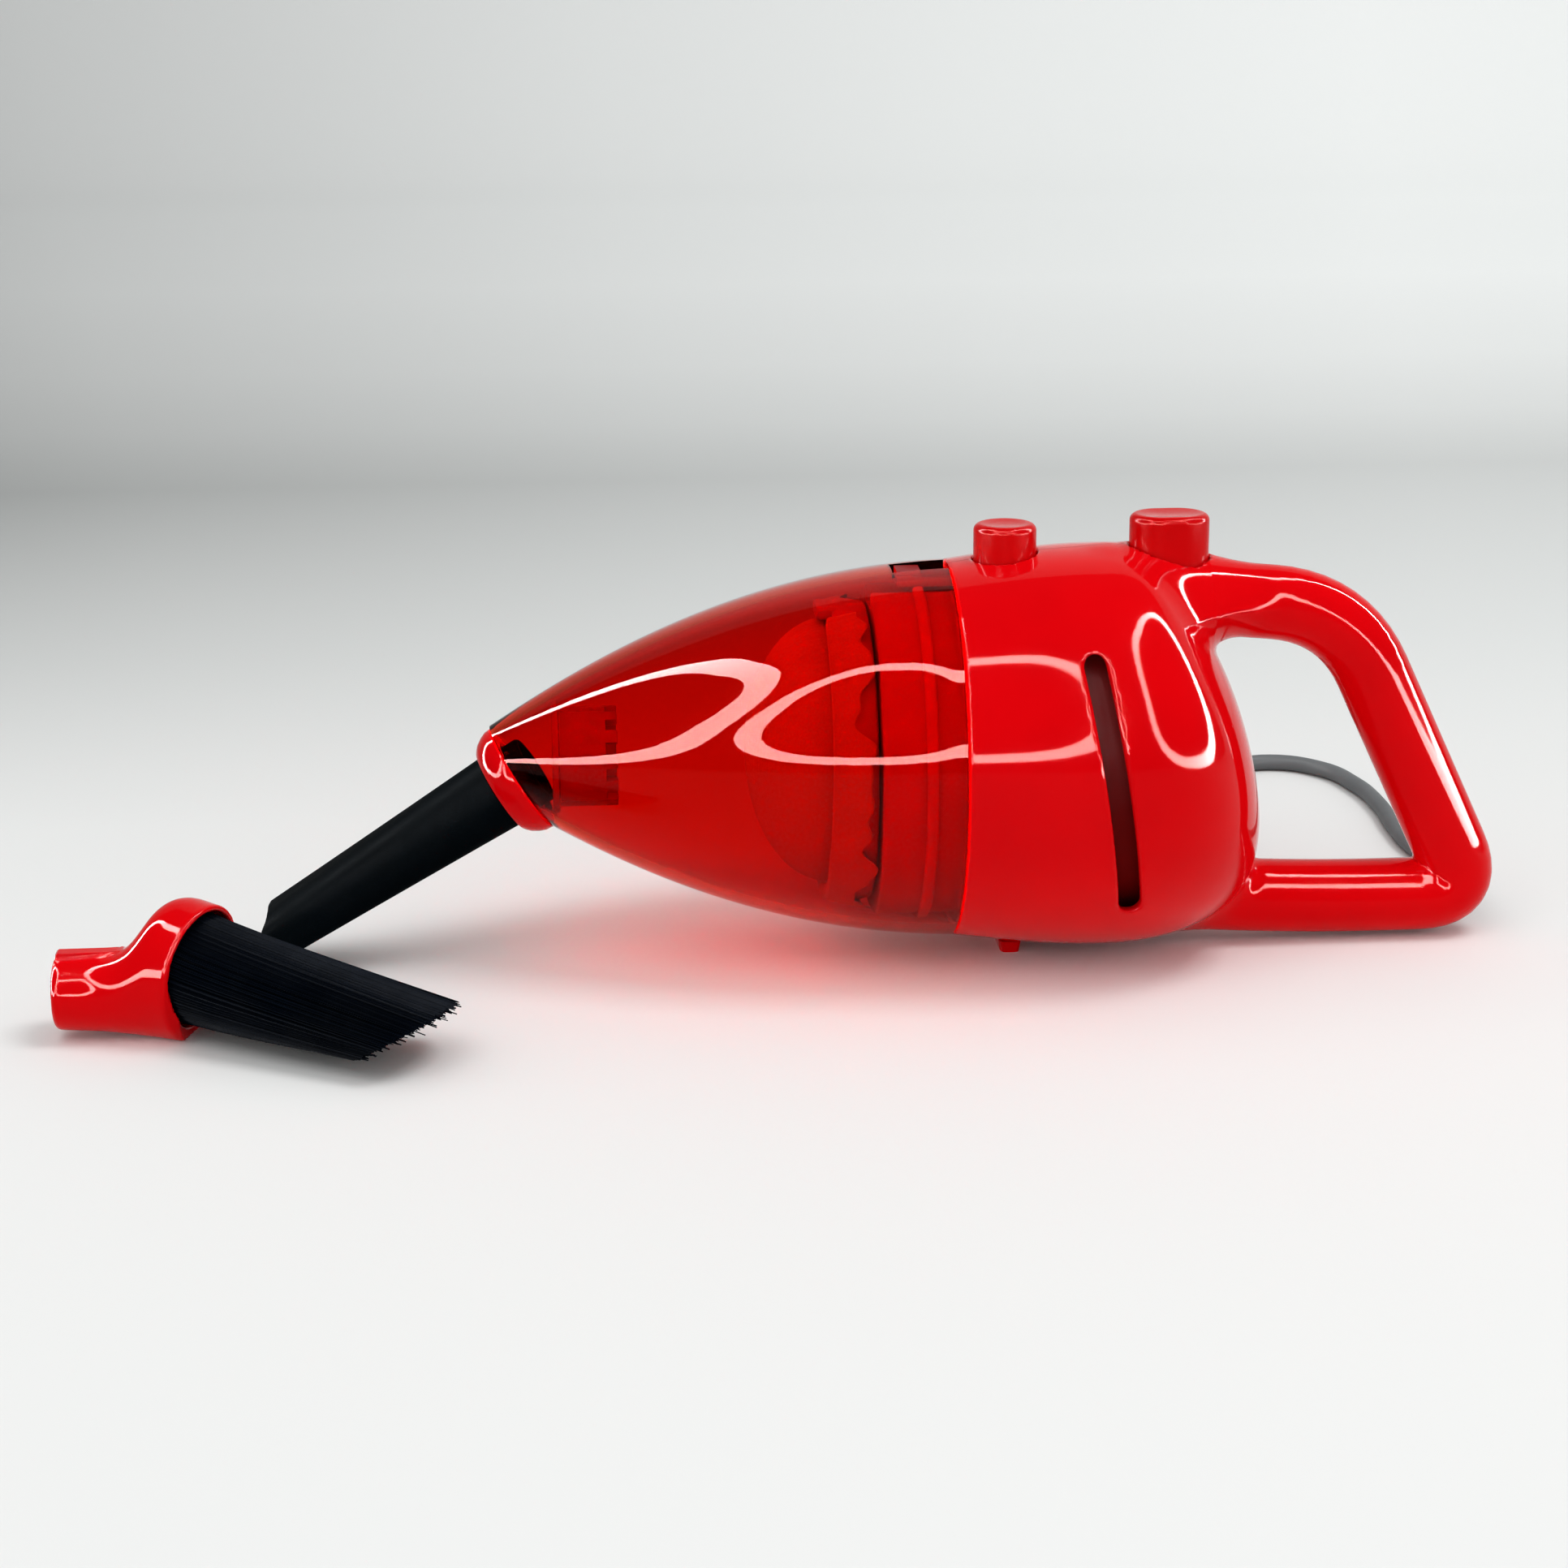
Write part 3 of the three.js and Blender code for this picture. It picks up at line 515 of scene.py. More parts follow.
def add_housing():
    """The two halves: one carved skin, split at y = 0 and capped there."""
    step, half_gap = 0.6, 0.05
    low = (BODY["front"] - 2 * step, -34.5, -1.0)
    points, faces, _ = carve(housing_field, low, (83.5, 34.5, 69), step)
    for name, side in (("left_shell", 1), ("right_shell", -1)):
        half = bmesh.new()
        mesh = bpy.data.meshes.new(name)
        mesh.from_pydata(points.tolist(), [], faces.tolist())
        half.from_mesh(mesh)
        bmesh.ops.bisect_plane(half, geom=half.verts[:] + half.edges[:] + half.faces[:], dist=1e-4,
                               plane_co=(0, half_gap * side, 0), plane_no=(0, -side, 0), clear_outer=True)
        rim = [edge for edge in half.edges if edge.is_boundary]
        bmesh.ops.triangle_fill(half, edges=rim, use_beauty=True, normal=(0, side, 0))
        half.to_mesh(mesh)
        half.free()
        kept = np.array([v.co for v in mesh.vertices])
        slope = gradient(housing_field, kept)
        slope /= np.maximum(np.linalg.norm(slope, axis=1), 1e-6)[:, None]
        mesh.transform(Matrix.Scale(MM, 4))
        mesh.shade_smooth()
        mesh.normals_split_custom_set_from_vertices(slope.tolist())
        node = "left_housing" if side > 0 else "right_housing"
        finish_piece(name, mesh, "red_gloss", "housing", [node])


add_housing()


def add_vent_baffle(name, side):
    """A curved plate behind a vent slot, which keeps the works out of sight; its dark red is painted shade,
    standing in for the slot's shadowed inside.
    """
    rows = []
    low_z, tall, steps = 10, 44, 24
    for k in range(steps + 1):
        z = low_z + tall * k / steps
        middle = VENT[0].x + (VENT[1].x - VENT[0].x) * (VENT[0].y - z) / (VENT[0].y - VENT[1].y)
        row = []
        for inset, reaches in ((4.2, (-6, -3, 0, 3, 6)), (5.2, (6, 3, 0, -3, -6))):
            for reach in reaches:
                x, low, high = middle + reach, 0.0, 33.0
                for _ in range(30):
                    half = (low + high) / 2
                    inside = body_field(np.array(x), np.array(half), np.array(z), inset) < 0
                    low, high = (half, high) if inside else (low, half)
                row.append((x, side * low, z))
        rows.append(row)
    make(name, *skin(rows), "red_shade", "housing", slot="red_matt")


for baffle_name, baffle_side in (("left_vent_baffle", 1), ("right_vent_baffle", -1)):
    add_vent_baffle(baffle_name, baffle_side)


# ---------------------------------------------------------------- knobs

def stadium(half_flat, radius, count=96):
    """A ring of points round an oval with flat sides, as [x, y]."""
    ring = []
    for j in range(count):
        angle = TURN * (j + 0.5) / count
        shift = half_flat if math.cos(angle) > 0 else -half_flat
        ring.append((shift + radius * math.cos(angle), radius * math.sin(angle)))
    return ring


def add_knob(name, centre_x, half_flat, low, high, body, node, stem=None):
    """A push knob with a rounded rim, a slightly dished top and, if stem is [radius, foot z], a stem."""
    radius, rim = KNOB_R, 1.1
    profile = [(radius - 0.3, low), (radius, low + 0.3), (radius, high - rim)]
    for k in range(1, 9):
        angle = k / 8 * math.pi / 2
        profile.append((radius - rim + rim * math.cos(angle), high - rim + rim * math.sin(angle)))
    profile += [(radius - rim - 0.5, high - 0.02), (radius - rim - 1.1, high - 0.12), (0.3, high - 0.22)]
    if stem:
        stem_r, foot = stem
        profile = [(0.3, foot), (stem_r - 0.3, foot), (stem_r, foot + 0.3), (stem_r, low)] + profile
    rings = []
    narrow = 2.1
    for r, z in profile:
        flat = half_flat if r > narrow else half_flat * r / narrow
        rings.append([(centre_x + x, y, z) for x, y in stadium(flat, r)])
    make(name, *skin(rings), "red_knob", body, [node], slot="red_matt")


add_knob("release_knob", RELEASE_X, 0, 62.2, 70.3, "latch", "release_button")
add_knob("power_knob", POWER_X, POWER_HALF_FLAT, 61.5, 71.4, "power", "power_button", stem=(1.9, 58.2))


# ---------------------------------------------------------------- fan cover, seal and filter frame

def notched_rings(outline, half_angle, floor=None, sides=112):
    """An [x, r] outline turned about the axis: open across the top, or cut down to a flat floor there."""
    angles = [half_angle + (TURN - 2 * half_angle) * j / sides for j in range(sides + 1)]
    stations = [(a, None) for a in angles]
    if floor is not None:
        stations += [(half_angle * f % TURN, floor) for f in (-0.98, -0.5, 0, 0.5, 0.98)]
    rings = []
    for a, top in stations:
        ring = []
        for x, r in outline:
            if top is not None:
                r = min(r, (top - AXIS_Z) / math.cos(a))
            ring.append((x, r * math.sin(a), AXIS_Z + r * math.cos(a)))
        rings.append(ring)
    return rings


def add_fan_cover():
    front, rear, radius = NECK["front"], NECK["rear"], NECK["radius"]
    flange, hole_r, wall = -10.1, 7.5, 2
    outline = rounded([(front, hole_r), (front, radius), (flange, radius), (flange, NECK["flange_r"]),
                       (rear, NECK["flange_r"]), (rear, radius - wall), (front + wall, radius - wall),
                       (front + wall, hole_r)], 0.7, 4)
    half_angle = math.asin(NECK["channel_half"] / radius)
    rings = notched_rings(outline, half_angle, NECK["channel_z"])
    make("neck_cover", *skin(rings, close=True), "red_matt", "housing", ["fan_cover"])
    seal = rounded([(-16.4, 26.0), (-16.4, 27.4), (-14.6, 27.4), (-14.6, 26.0)], 0.6, 4)
    seal_rings = notched_rings(seal, half_angle * 1.06)
    make("neck_seal", *skin(seal_rings), "red_silicone", "housing", ["bowl_seal"])


add_fan_cover()

FILTER = {"front": -29.0, "rear": -23.4, "inner_r": 21.5, "outer_r": 24.4, "lip_r": 18}


def add_filter_frame():
    """The ring that holds the bag, and the finger tab that it is pulled off by."""
    front, rear, outer_r = FILTER["front"], FILTER["rear"], FILTER["outer_r"]
    outline = rounded([(front, FILTER["inner_r"]), (front, outer_r - 0.6), (front + 1.6, outer_r),
                       (rear, outer_r - 0.6), (rear, FILTER["lip_r"]), (rear - 1.2, FILTER["lip_r"]),
                       (rear - 1.2, FILTER["inner_r"])], 0.5, 3)
    points, faces = turned_x(outline)
    half_wide, low, high = 4, 55.9, 57.8
    middle = (low + high) / 2
    tab = rounded([(-half_wide, low), (half_wide, low), (half_wide, high), (-half_wide, high)], 0.7, 4)
    rings = [[(x, y * share, middle + (z - middle) * share) for y, z in tab]
             for x, share in ((-28.2, 1), (-31.0, 1), (-31.3, 0.96), (-31.4, 0.86))]
    tab_points, tab_faces = skin(rings)
    shift = len(points)
    faces = faces + [tuple(i + shift for i in face) for face in tab_faces]
    make("filter_ring", np.concatenate([points, tab_points]), faces, "red_matt", "filter", ["filter_frame"])


add_filter_frame()

FILTER_TRAVEL = 8.0
BOWL_CURVE = [Vector(p) for p in ((BODY["front"], BODY["front_r"]), (-35, 29.5), (-57.5, 21.5), (-81, 6.7))]


def bowl_profile(t):
    """A point [x, r] of the bowl's outside: the curve up to t = 1, then straight on towards the nose."""
    a, b, c, d = BOWL_CURVE
    if t > 1:
        return d + Vector((-7, -4.4)) * (t - 1) * 4
    s = 1 - t
    return a * s ** 3 + b * 3 * s * s * t + c * 3 * s * t * t + d * t ** 3


def bowl_surface(t, inset):
    """A point of the bowl's profile moved inwards by inset."""
    point, ahead = bowl_profile(t), bowl_profile(t + 0.01)
    slope = (ahead - point).normalized()
    return point + Vector((-slope.y, slope.x)) * inset * (1 if slope.x < 0 else -1)


BAG = {"edge_x": -29.6, "radius": 21.1, "depth": 13.0, "turn_back": 1.95, "hem": 4.6, "clearance": 0.45}


def add_filter_bag():
    """The cloth dome, whose loose hem turns back over the ring in waves that are fuller at the bottom."""
    around, dome_rows, hem_rows = 240, 32, 24
    turn_share, tab_half, tab_ease = 0.45, 0.2, 0.12
    rng = random.Random(7)
    waves = [(n, rng.uniform(0, TURN)) for n in (9, 14, 5, 23, 31)]
    inside = [bowl_surface(t / 100, BOWL_WALL) for t in range(100, -1, -1)]
    inside_x, inside_r = [p.x for p in inside], [p.y for p in inside]

    def ripple(angle):
        return sum(math.sin(n * angle + shift) / (1.4 + 0.5 * i) for i, (n, shift) in enumerate(waves))

    def dome_point(share, angle):
        """Share runs from 0 at the dome's edge to 1 at its middle."""
        crease = 0.14 * ripple(angle) * (1 - share) ** 2 + 0.1 * math.sin(8 * share + 3 * angle)
        radius = BAG["radius"] * math.sin((1 - share) * math.pi / 2) + crease * (1 - share)
        return BAG["edge_x"] - BAG["depth"] * math.sin(share * math.pi / 2) - 0.4 * crease * share, radius

    def hem_point(share, angle):
        """Share runs from 0 at the dome's edge, over the ring's front, to 1 at the loose edge."""
        low = 0.5 - 0.5 * math.cos(angle)
        off_tab = min(1.0, max(0.0, (abs(math.remainder(angle, TURN)) - tab_half) / tab_ease))
        turn = min(share / turn_share, 1) * math.pi
        back = max(share - turn_share, 0) / (1 - turn_share) * off_tab
        wave = ripple(angle) * (0.25 + 0.75 * back)
        bulge = 0.5 + 1.1 * low * low
        radius = BAG["radius"] + BAG["turn_back"] * off_tab * (1 - math.cos(turn))
        radius += bulge * max(0.0, wave) * back * 0.9 + 0.35 * back
        x = BAG["edge_x"] - (0.55 + 0.75 * low * low * (1 + 0.5 * wave)) * math.sin(turn) * off_tab
        return x + back * (BAG["hem"] + 1.2 * wave), radius

    rows = [(dome_point, 1 - i / dome_rows) for i in range(dome_rows + 1)]
    rows += [(hem_point, i / hem_rows) for i in range(1, hem_rows + 1)]
    rings = []
    for place, share in rows:
        ring = []
        for j in range(around):
            angle = TURN * j / around
            x, radius = place(share, angle)
            room = np.interp(x - FILTER_TRAVEL, inside_x, inside_r) - BAG["clearance"]
            radius = min(max(radius, 0.05), room)
            ring.append((x, radius * math.sin(angle), AXIS_Z + radius * math.cos(angle)))
        rings.append(ring)
    points = np.concatenate([np.array(ring) for ring in rings])
    faces = ring_faces(len(rings), around)
    faces.append(tuple(range(around - 1, -1, -1)))
    bag = make("filter_cloth_bag", points, faces, "filter_cloth", "filter", ["filter_bag"], sharp=180)
    thickness = bag.modifiers.new("thickness", "SOLIDIFY")
    thickness.thickness = 0.3 * MM
    thickness.offset = 0


add_filter_bag()


# ---------------------------------------------------------------- dust bowl and inlet

def past_nose(point, angle):
    """How far a point of the bowl lies in front of the plane across the tool's axis."""
    x, z = point.x - NOZZLE.x, AXIS_Z + point.y * math.cos(angle) - NOZZLE.z
    return -(x * math.cos(TOOL_TILT) + z * math.sin(TOOL_TILT)) - 0.1


def trim(angle, inset):
    """Where the bowl's surface meets the nose plane, along one line from rear to front."""
    low, high = 0.5, 1.25
    for _ in range(30):
        middle = (low + high) / 2
        low, high = (middle, high) if past_nose(bowl_surface(middle, inset), angle) < 0 else (low, middle)
    return low


def add_dust_bowl():
    """The clear shell, trimmed to the nose's plane and notched for the latch."""
    sides, stations = 144, 72
    angles = [TURN * j / sides for j in range(sides)]
    loops = []
    for inset, order in ((0.0, 1), (BOWL_WALL, -1)):
        ends = [trim(a, inset) for a in angles]
        rows = []
        for i in range(stations + 1):
            row = []
            for a, end in zip(angles, ends):
                point = bowl_surface(end * i / stations, inset)
                x = min(point.x, BOWL_REAR) if i == 0 else point.x
                row.append((x, point.y * math.sin(a), AXIS_Z + point.y * math.cos(a)))
            rows.append(row)
        loops += rows[::order]
    bowl = make("clear_bowl", *skin(loops, close=True), "red_clear", "bowl", ["dust_bowl"], sharp=40)
    apply_cut(bowl, cutter("bowl_notch_cutter", (-19.4, -3.2, 56), (0, 3.2, 72)))


def cutter(name, low, high):
    """A box between two corners, in millimetres, to cut a piece with."""
    corners = [(x, y, z) for x in (low[0], high[0]) for y in (low[1], high[1]) for z in (low[2], high[2])]
    mesh = bpy.data.meshes.new(name)
    faces = [(0, 1, 3, 2), (4, 6, 7, 5), (0, 4, 5, 1), (2, 3, 7, 6), (0, 2, 6, 4), (1, 5, 7, 3)]
    mesh.from_pydata([[v * MM for v in corner] for corner in corners], [], faces)
    tool = add_object(name, mesh)
    return tool


def apply_cut(piece, tool):
    """Cuts the tool's shape out of a piece and removes the tool."""
    step = piece.modifiers.new("cut", "BOOLEAN")
    step.operation = "DIFFERENCE"
    step.solver = "EXACT"
    step.object = tool
    bpy.context.view_layer.update()
    result = bpy.data.meshes.new_from_object(piece.evaluated_get(bpy.context.evaluated_depsgraph_get()))
    piece.modifiers.clear()
    piece.data = result
    result.set_sharp_from_angle(angle=math.radians(40))
    bpy.data.objects.remove(tool)


add_dust_bowl()


def add_inlet_duct():
    """The tube behind the nose, with a toothed rear end."""
    teeth, steps, tooth_fill = 12, 4, 0.985
    outer_r, inner_r, rim_r, front, gap_x, tooth_x = 8.0, 6.8, 9, -73.4, -64.9, -63.1
    rings = []
    for k in range(teeth):
        for part, reach in ((0.0, tooth_x), (0.5, gap_x)):
            outline = rounded([(front, inner_r), (front, rim_r), (front + 1, rim_r), (front + 1.2, outer_r),
                               (reach, outer_r), (reach, inner_r)], 0.25, 2)
            for j in range(steps + 1):
                angle = TURN * (k + part + 0.5 * j / steps * tooth_fill) / teeth
                rings.append([(x, r * math.sin(angle), AXIS_Z + r * math.cos(angle)) for x, r in outline])
    make("inlet_tube", *skin(rings, close=True), "red_smoke", "bowl", ["inlet_duct"], slot="red_clear")


add_inlet_duct()


# ---------------------------------------------------------------- nozzle ring and crevice tool

NOSE_FRAME = Matrix.Translation(NOZZLE) @ Matrix.Rotation(-TOOL_TILT, 4, "Y")


def nose_ring(x, half_y, half_z, squareness=2.0, sides=96, shift=None):
    """A ring of points across the tool's axis; x runs back towards the bowl."""
    ring = []
    for j in range(sides):
        c, s = math.cos(TURN * j / sides), math.sin(TURN * j / sides)
        up = half_z * signed_power(c, 2 / squareness)
        side = half_y * signed_power(s, 2 / squareness)
        ring.append(NOSE_FRAME @ Vector((x + (shift(up) if shift else 0), side, up)))
    return ring


def add_nozzle_ring():
    """The opaque collar that closes the bowl's nose, taller than it is wide."""
    profile = [(-0.15, 8.0, 9.1), (-0.4, 8.2, 9.35), (-1.4, 8.25, 9.3), (-2.4, 8.05, 8.9),
               (-3.4, 7.7, 8.3), (-4.0, 7.35, 7.7), (-4.3, 7.1, 7.3), (-4.3, 6.35, 6.35),
               (-4.1, 6.05, 6.05), (-0.4, 6.05, 6.05), (-0.15, 6.3, 6.3)]
    rings = [nose_ring(*place) for place in profile]
    make("nozzle_collar", *skin(rings, close=True), "red_gloss", "bowl", ["nozzle_ring"])


add_nozzle_ring()

TOOL = {"root": -4.6, "tip": -49.0, "spigot_end": 2.4, "spigot_r": 5.7, "wall": 1.2}


def tool_ring(t, inset, back=0.0):
    """The tool's section at share t of its length: round at the root, flat and wide at the tip."""
    half_z = 6.2 - 2.4 * t - inset
    half_y = 6.2 + 1.5 * t * t - inset
    x = TOOL["root"] + (TOOL["tip"] - TOOL["root"]) * t + back
    round_from = 0.94
    round_off = 2.8 * max(0.0, (t - round_from) / (1 - round_from))
    return nose_ring(x, half_y, half_z, 2 + 1.4 * t, 96, lambda up: round_off * max(0, up / half_z) ** 3)


def add_crevice_tool():
    """The hollow tool: its spigot, then the outside to the tip, and the inside back."""
    stations = [i / 40 for i in range(41)]
    end, root, spigot_r = TOOL["spigot_end"], TOOL["root"], TOOL["spigot_r"]
    rings = [nose_ring(end, r, r) for r in (4.8, 5.4)]
    rings += [nose_ring(x, spigot_r, spigot_r) for x in (end - 0.4, root + 0.02)]
    rings.append(tool_ring(0, 0.35))
    rings += [tool_ring(t, 0.0) for t in stations[:-1]]
    rings += [tool_ring(1, 0.0, 0.3), tool_ring(1, 0.08, 0.1), tool_ring(1, 0.3)]
    rings += [tool_ring(1, 0.9), tool_ring(1, 1.1, 0.15)]
    rings += [tool_ring(t, TOOL["wall"]) for t in stations[:-1][::-1]]
    rings += [nose_ring(x, 4.5, 4.5) for x in (root + 1, end - 0.3)]
    make("crevice_nozzle", *skin(rings, close=True), "black_tool", "tool", ["crevice_tool"], sharp=30)


add_crevice_tool()


# ---------------------------------------------------------------- dusting brush

MOUTH = Vector((-127.5, -29.5, 10.2))
BRUSH_RUN = Vector((0.869, -0.462, -0.178)).normalized()
NECK_Z, NECK_END = 7.0, -149.5


def brush_field(x, y, z):
    """Collar and neck blended into one moulding, hollow from both ends."""
    along = (x - MOUTH.x) * BRUSH_RUN.x + (y - MOUTH.y) * BRUSH_RUN.y + (z - MOUTH.z) * BRUSH_RUN.z
    away_squared = (x - MOUTH.x) ** 2 + (y - MOUTH.y) ** 2 + (z - MOUTH.z) ** 2
    across = np.sqrt(np.maximum(away_squared - along ** 2, 1e-9))
    collar = smooth_cut(smooth_cut(across - 9.95, along + 8.2, 5.0), -along, 0.6)
    neck_across = np.hypot(y - MOUTH.y, z - NECK_Z)
    neck = neck_across - 5.6 - 0.065 * (x - NECK_END)
    neck = np.maximum(smooth_cut(neck, x - NECK_END, 1.2), x + 131)
    lug = np.maximum(np.abs(y - MOUTH.y) - 1.3, np.maximum(np.abs(z - 11.6) - 2.0, np.abs(x + 144) - 4.9))
    outer = smooth_union(smooth_union(collar, neck, 5.0), lug, 0.7)
    outer = smooth_cut(outer, np.maximum(across - 9.05, -4.2 - along), 0.4)
    outer = smooth_cut(outer, np.maximum(neck_across - 4.4, x + 139), 0.4)
    return smooth_cut(outer, z - 0.06, 0.2)


def add_brush_collar():
    """The brush's red moulding, fine enough that its thin walls stay closed."""
    step = 0.45
    points, faces, normals = carve(brush_field, (-151.5, -42, -1), (-119, -15, 24), step)
    make("brush_head", points, faces, "red_gloss", "brush", ["brush_collar"], normals=normals)


add_brush_collar()

BRUSH_SIDE = Vector((0, 0, 1)).cross(BRUSH_RUN).normalized()
BRUSH_UP = BRUSH_RUN.cross(BRUSH_SIDE).normalized()


def bristle_point(a, b, t, swell=1.0):
    """A place in the bundle: a across, b up, both from -1 to 1, and t from the root to the cut end."""
    start = MOUTH - BRUSH_RUN * 3.8
    centre = start + BRUSH_RUN * 40 * t
    centre.z = start.z + (5.3 - start.z) * t ** 0.8
    half_wide, half_tall = (8.6 + 1.6 * t) * swell, (8.6 - 3.6 * t ** 1.1) * swell
    rise = half_tall * b
    point = centre + BRUSH_SIDE * half_wide * a + BRUSH_UP * rise + BRUSH_RUN * (1.15 * t * t * rise)
    point.z = max(point.z, 0.12)
    return point


def add_bristles():
    """Strands that follow the bundle, each a thin tapered stalk, over a dark core."""
    rng = random.Random(11)
    strands = 2600
    points, faces = [], []
    spans = 7
    for n in range(strands):
        spread = math.sqrt(rng.uniform(0.35, 0.98)) if n % 4 else math.sqrt(rng.uniform(0, 0.4))
        angle = rng.uniform(0, TURN)
        a, b = spread * math.sin(angle), spread * math.cos(angle)
        reach = 1 + rng.gauss(0, 0.008) + (rng.uniform(0.01, 0.05) if rng.random() < 0.03 else 0)
        stray_a, stray_b = rng.gauss(0, 0.018), rng.gauss(0, 0.018)
        thick = rng.uniform(0.13, 0.19)
        first = len(points)
        for i in range(spans + 1):
            t = i / spans
            centre = bristle_point(a + stray_a * t * t, b + stray_b * t * t, reach * t)
            size = thick * (1 - 0.35 * t * t)
            for k in range(3):
                turn = TURN * k / 3 + angle
                points.append(centre + BRUSH_SIDE * size * math.sin(turn) + BRUSH_UP * size * math.cos(turn))
        faces += ring_faces(spans + 1, 3, first=first)
        faces.append((first + 2, first + 1, first))
        end = first + spans * 3
        faces.append((end, end + 1, end + 2))
    make("bristle_strands", points, faces, "bristle", "brush", ["brush_bristles"], sharp=70)
    core_rows, core_sides, core_reach, core_swell = 12, 40, 0.93, 0.9
    turns = [TURN * j / core_sides for j in range(core_sides)]
    core = [[bristle_point(math.sin(turn), math.cos(turn), i / core_rows * core_reach, core_swell)
             for turn in turns] for i in range(core_rows + 1)]
    make("bristle_core", *skin(core), "bristle", "brush")


add_bristles()


# ---------------------------------------------------------------- cord, tie, plug and strain relief

CORD_R = 1.5
COIL = {"x": 20.0, "y": 67.0, "outer_r": 22.5, "pitch": 3.0, "turns": 4}
LEAD = [(81.6, 16.5, 3.4), (82.2, 22, 2.1), (81, 31, 1.6), (78.8, 42.5, 1.6), (78.8, 55, 1.6),
        (79.6, 68, 1.6), (78.6, 82, 1.6), (74.4, 94, 1.6), (66, 99.4, 1.6), (57.4, 96.4, 1.6),
        (51.4, 88.6, 1.6), (47.6, 79, 1.6), (46, 71, 1.6)]
TAIL = [(-6, 70, 4.6), (-6.2, 78, 3), (-5.6, 86, 1.8), (-3.6, 93, 1.8), (-2.4, 99, 3), (-2, 105.4, 4.1)]


def coil_points():
    """Turns that spiral inwards on the table, and then back outwards on top of them."""
    per_turn, climb, low_z, high_z = 24, 0.15, 1.6, 4.6
    turns = COIL["turns"]
    stations = [(i / per_turn, True) for i in range(turns * per_turn)]
    stations += [(i / per_turn, False) for i in range(turns * per_turn + per_turn // 2)]
    points = []
    for turn, inwards in stations:
        if inwards:
            layers, z, gone = min(turn, turns - 1), low_z, turn
        else:
            layers, gone = max(turns - 1 - turn, 0), turn + turns
            z = high_z if turn > climb else low_z + (high_z - low_z) * turn / climb
        r = COIL["outer_r"] - COIL["pitch"] * layers
        angle = 0.1 - TURN * gone
        points.append((COIL["x"] + r * math.cos(angle), COIL["y"] + r * math.sin(angle), z))
    return points


def add_cord():
    """The lead as one curve: out of the sleeve, along the table, round the coil and on to the plug."""
    exit_run = (EXIT_TO - EXIT_FROM).normalized()
    start = EXIT_TO - exit_run * 1.0
    route = [tuple(start), tuple(EXIT_TO + exit_run * 2)] + LEAD + coil_points() + TAIL
    curve = bpy.data.curves.new("usb_lead", "CURVE")
    curve.dimensions = "3D"
    curve.bevel_depth = CORD_R * MM
    curve.bevel_resolution = 6
    curve.use_fill_caps = True
    curve.resolution_u = 6
    line = curve.splines.new("BEZIER")
    line.bezier_points.add(len(route) - 1)
    for point, place in zip(line.bezier_points, route):
        point.co = Vector(place) * MM
        point.handle_left_type = point.handle_right_type = "AUTO"
    lead = finish_piece("usb_lead", curve, "grey_cord", "housing", ["cord_lead", "cord_coil", "cord_tail"])
    return lead, start


def add_plug():
    """The plug's moulded body: each row is [along, half width, half height, squareness]."""
    centre, low, sides = Vector((-2, 105.7, 4.1)), 0.2, 72
    profile = [(0, 2.2, 2.2, 2), (0.4, 2.5, 2.5, 2)]
    for k in range(4):
        x = 0.9 + 1.0 * k
        for ahead, half in ((0, 2.7), (0.25, 2.35), (0.6, 2.35), (0.85, 2.8)):
            profile.append((x + ahead, half, half, 2))
    profile += [(5.2, 4.6, 3.2, 3), (6.0, 6.4, 3.75, 4), (7.2, 6.9, 3.9, 4.5), (12, 7.1, 3.9, 5),
                (20.6, 7.3, 3.9, 5), (21.6, 7.1, 3.7, 5), (22, 6.6, 3.2, 5)]
    rings = []
    for along, half_x, half_z, square in profile:
        ring = []
        for j in range(sides):
            c, s = math.cos(TURN * j / sides), math.sin(TURN * j / sides)
            across = half_x * signed_power(s, 2 / square)
            up = half_z * signed_power(c, 2 / square)
            ring.append((centre.x + across, centre.y + along, max(centre.z + up, low)))
        rings.append(ring)
    return make("plug_overmould", *skin(rings), "black_plastic", "housing", ["plug_body"])


def add_strain_relief():
    """A ribbed rubber sleeve round the lead where it leaves the handle."""
    run = (EXIT_TO - EXIT_FROM).normalized()
    turn = run.to_track_quat("X", "Z").to_matrix()
    length = (EXIT_TO - EXIT_FROM).length
    ribs, root, sides = 5, 3, 48
    profile = []
    for k in range(ribs):
        x, r = root + (length - root) * k / ribs, 2.8 - 0.7 * k / ribs
        profile += [(x, r), (x + 1.0, r - 0.1), (x + 1.15, r - 0.55), (x + 1.5, r - 0.6)]
    profile += [(length - 0.3, 2.1), (length, 1.9), (length, 1.6), (root, 1.6)]
    angles = [TURN * j / sides for j in range(sides)]
    rings = [[EXIT_FROM + turn @ Vector((x, r * math.sin(a), r * math.cos(a))) for a in angles]
             for x, r in profile]
    make("lead_sleeve", *skin(rings, close=True), "black_rubber", "housing", ["strain_relief"])


usb_lead, lead_start = add_cord()
plug_overmould = add_plug()
add_strain_relief()


# ---------------------------------------------------------------- carried-over CAD nodes

def dress_cad_nodes():
    """Each node that is still shown gets its slot's finish."""
    slots = {row["node"]: row["material_slot"] for row in frame["record"]["subparts"]}
    for name, node in frame["nodes"].items():
        node.data.materials.clear()
        node.data.materials.append(looks[slots[name]])


dress_cad_nodes()
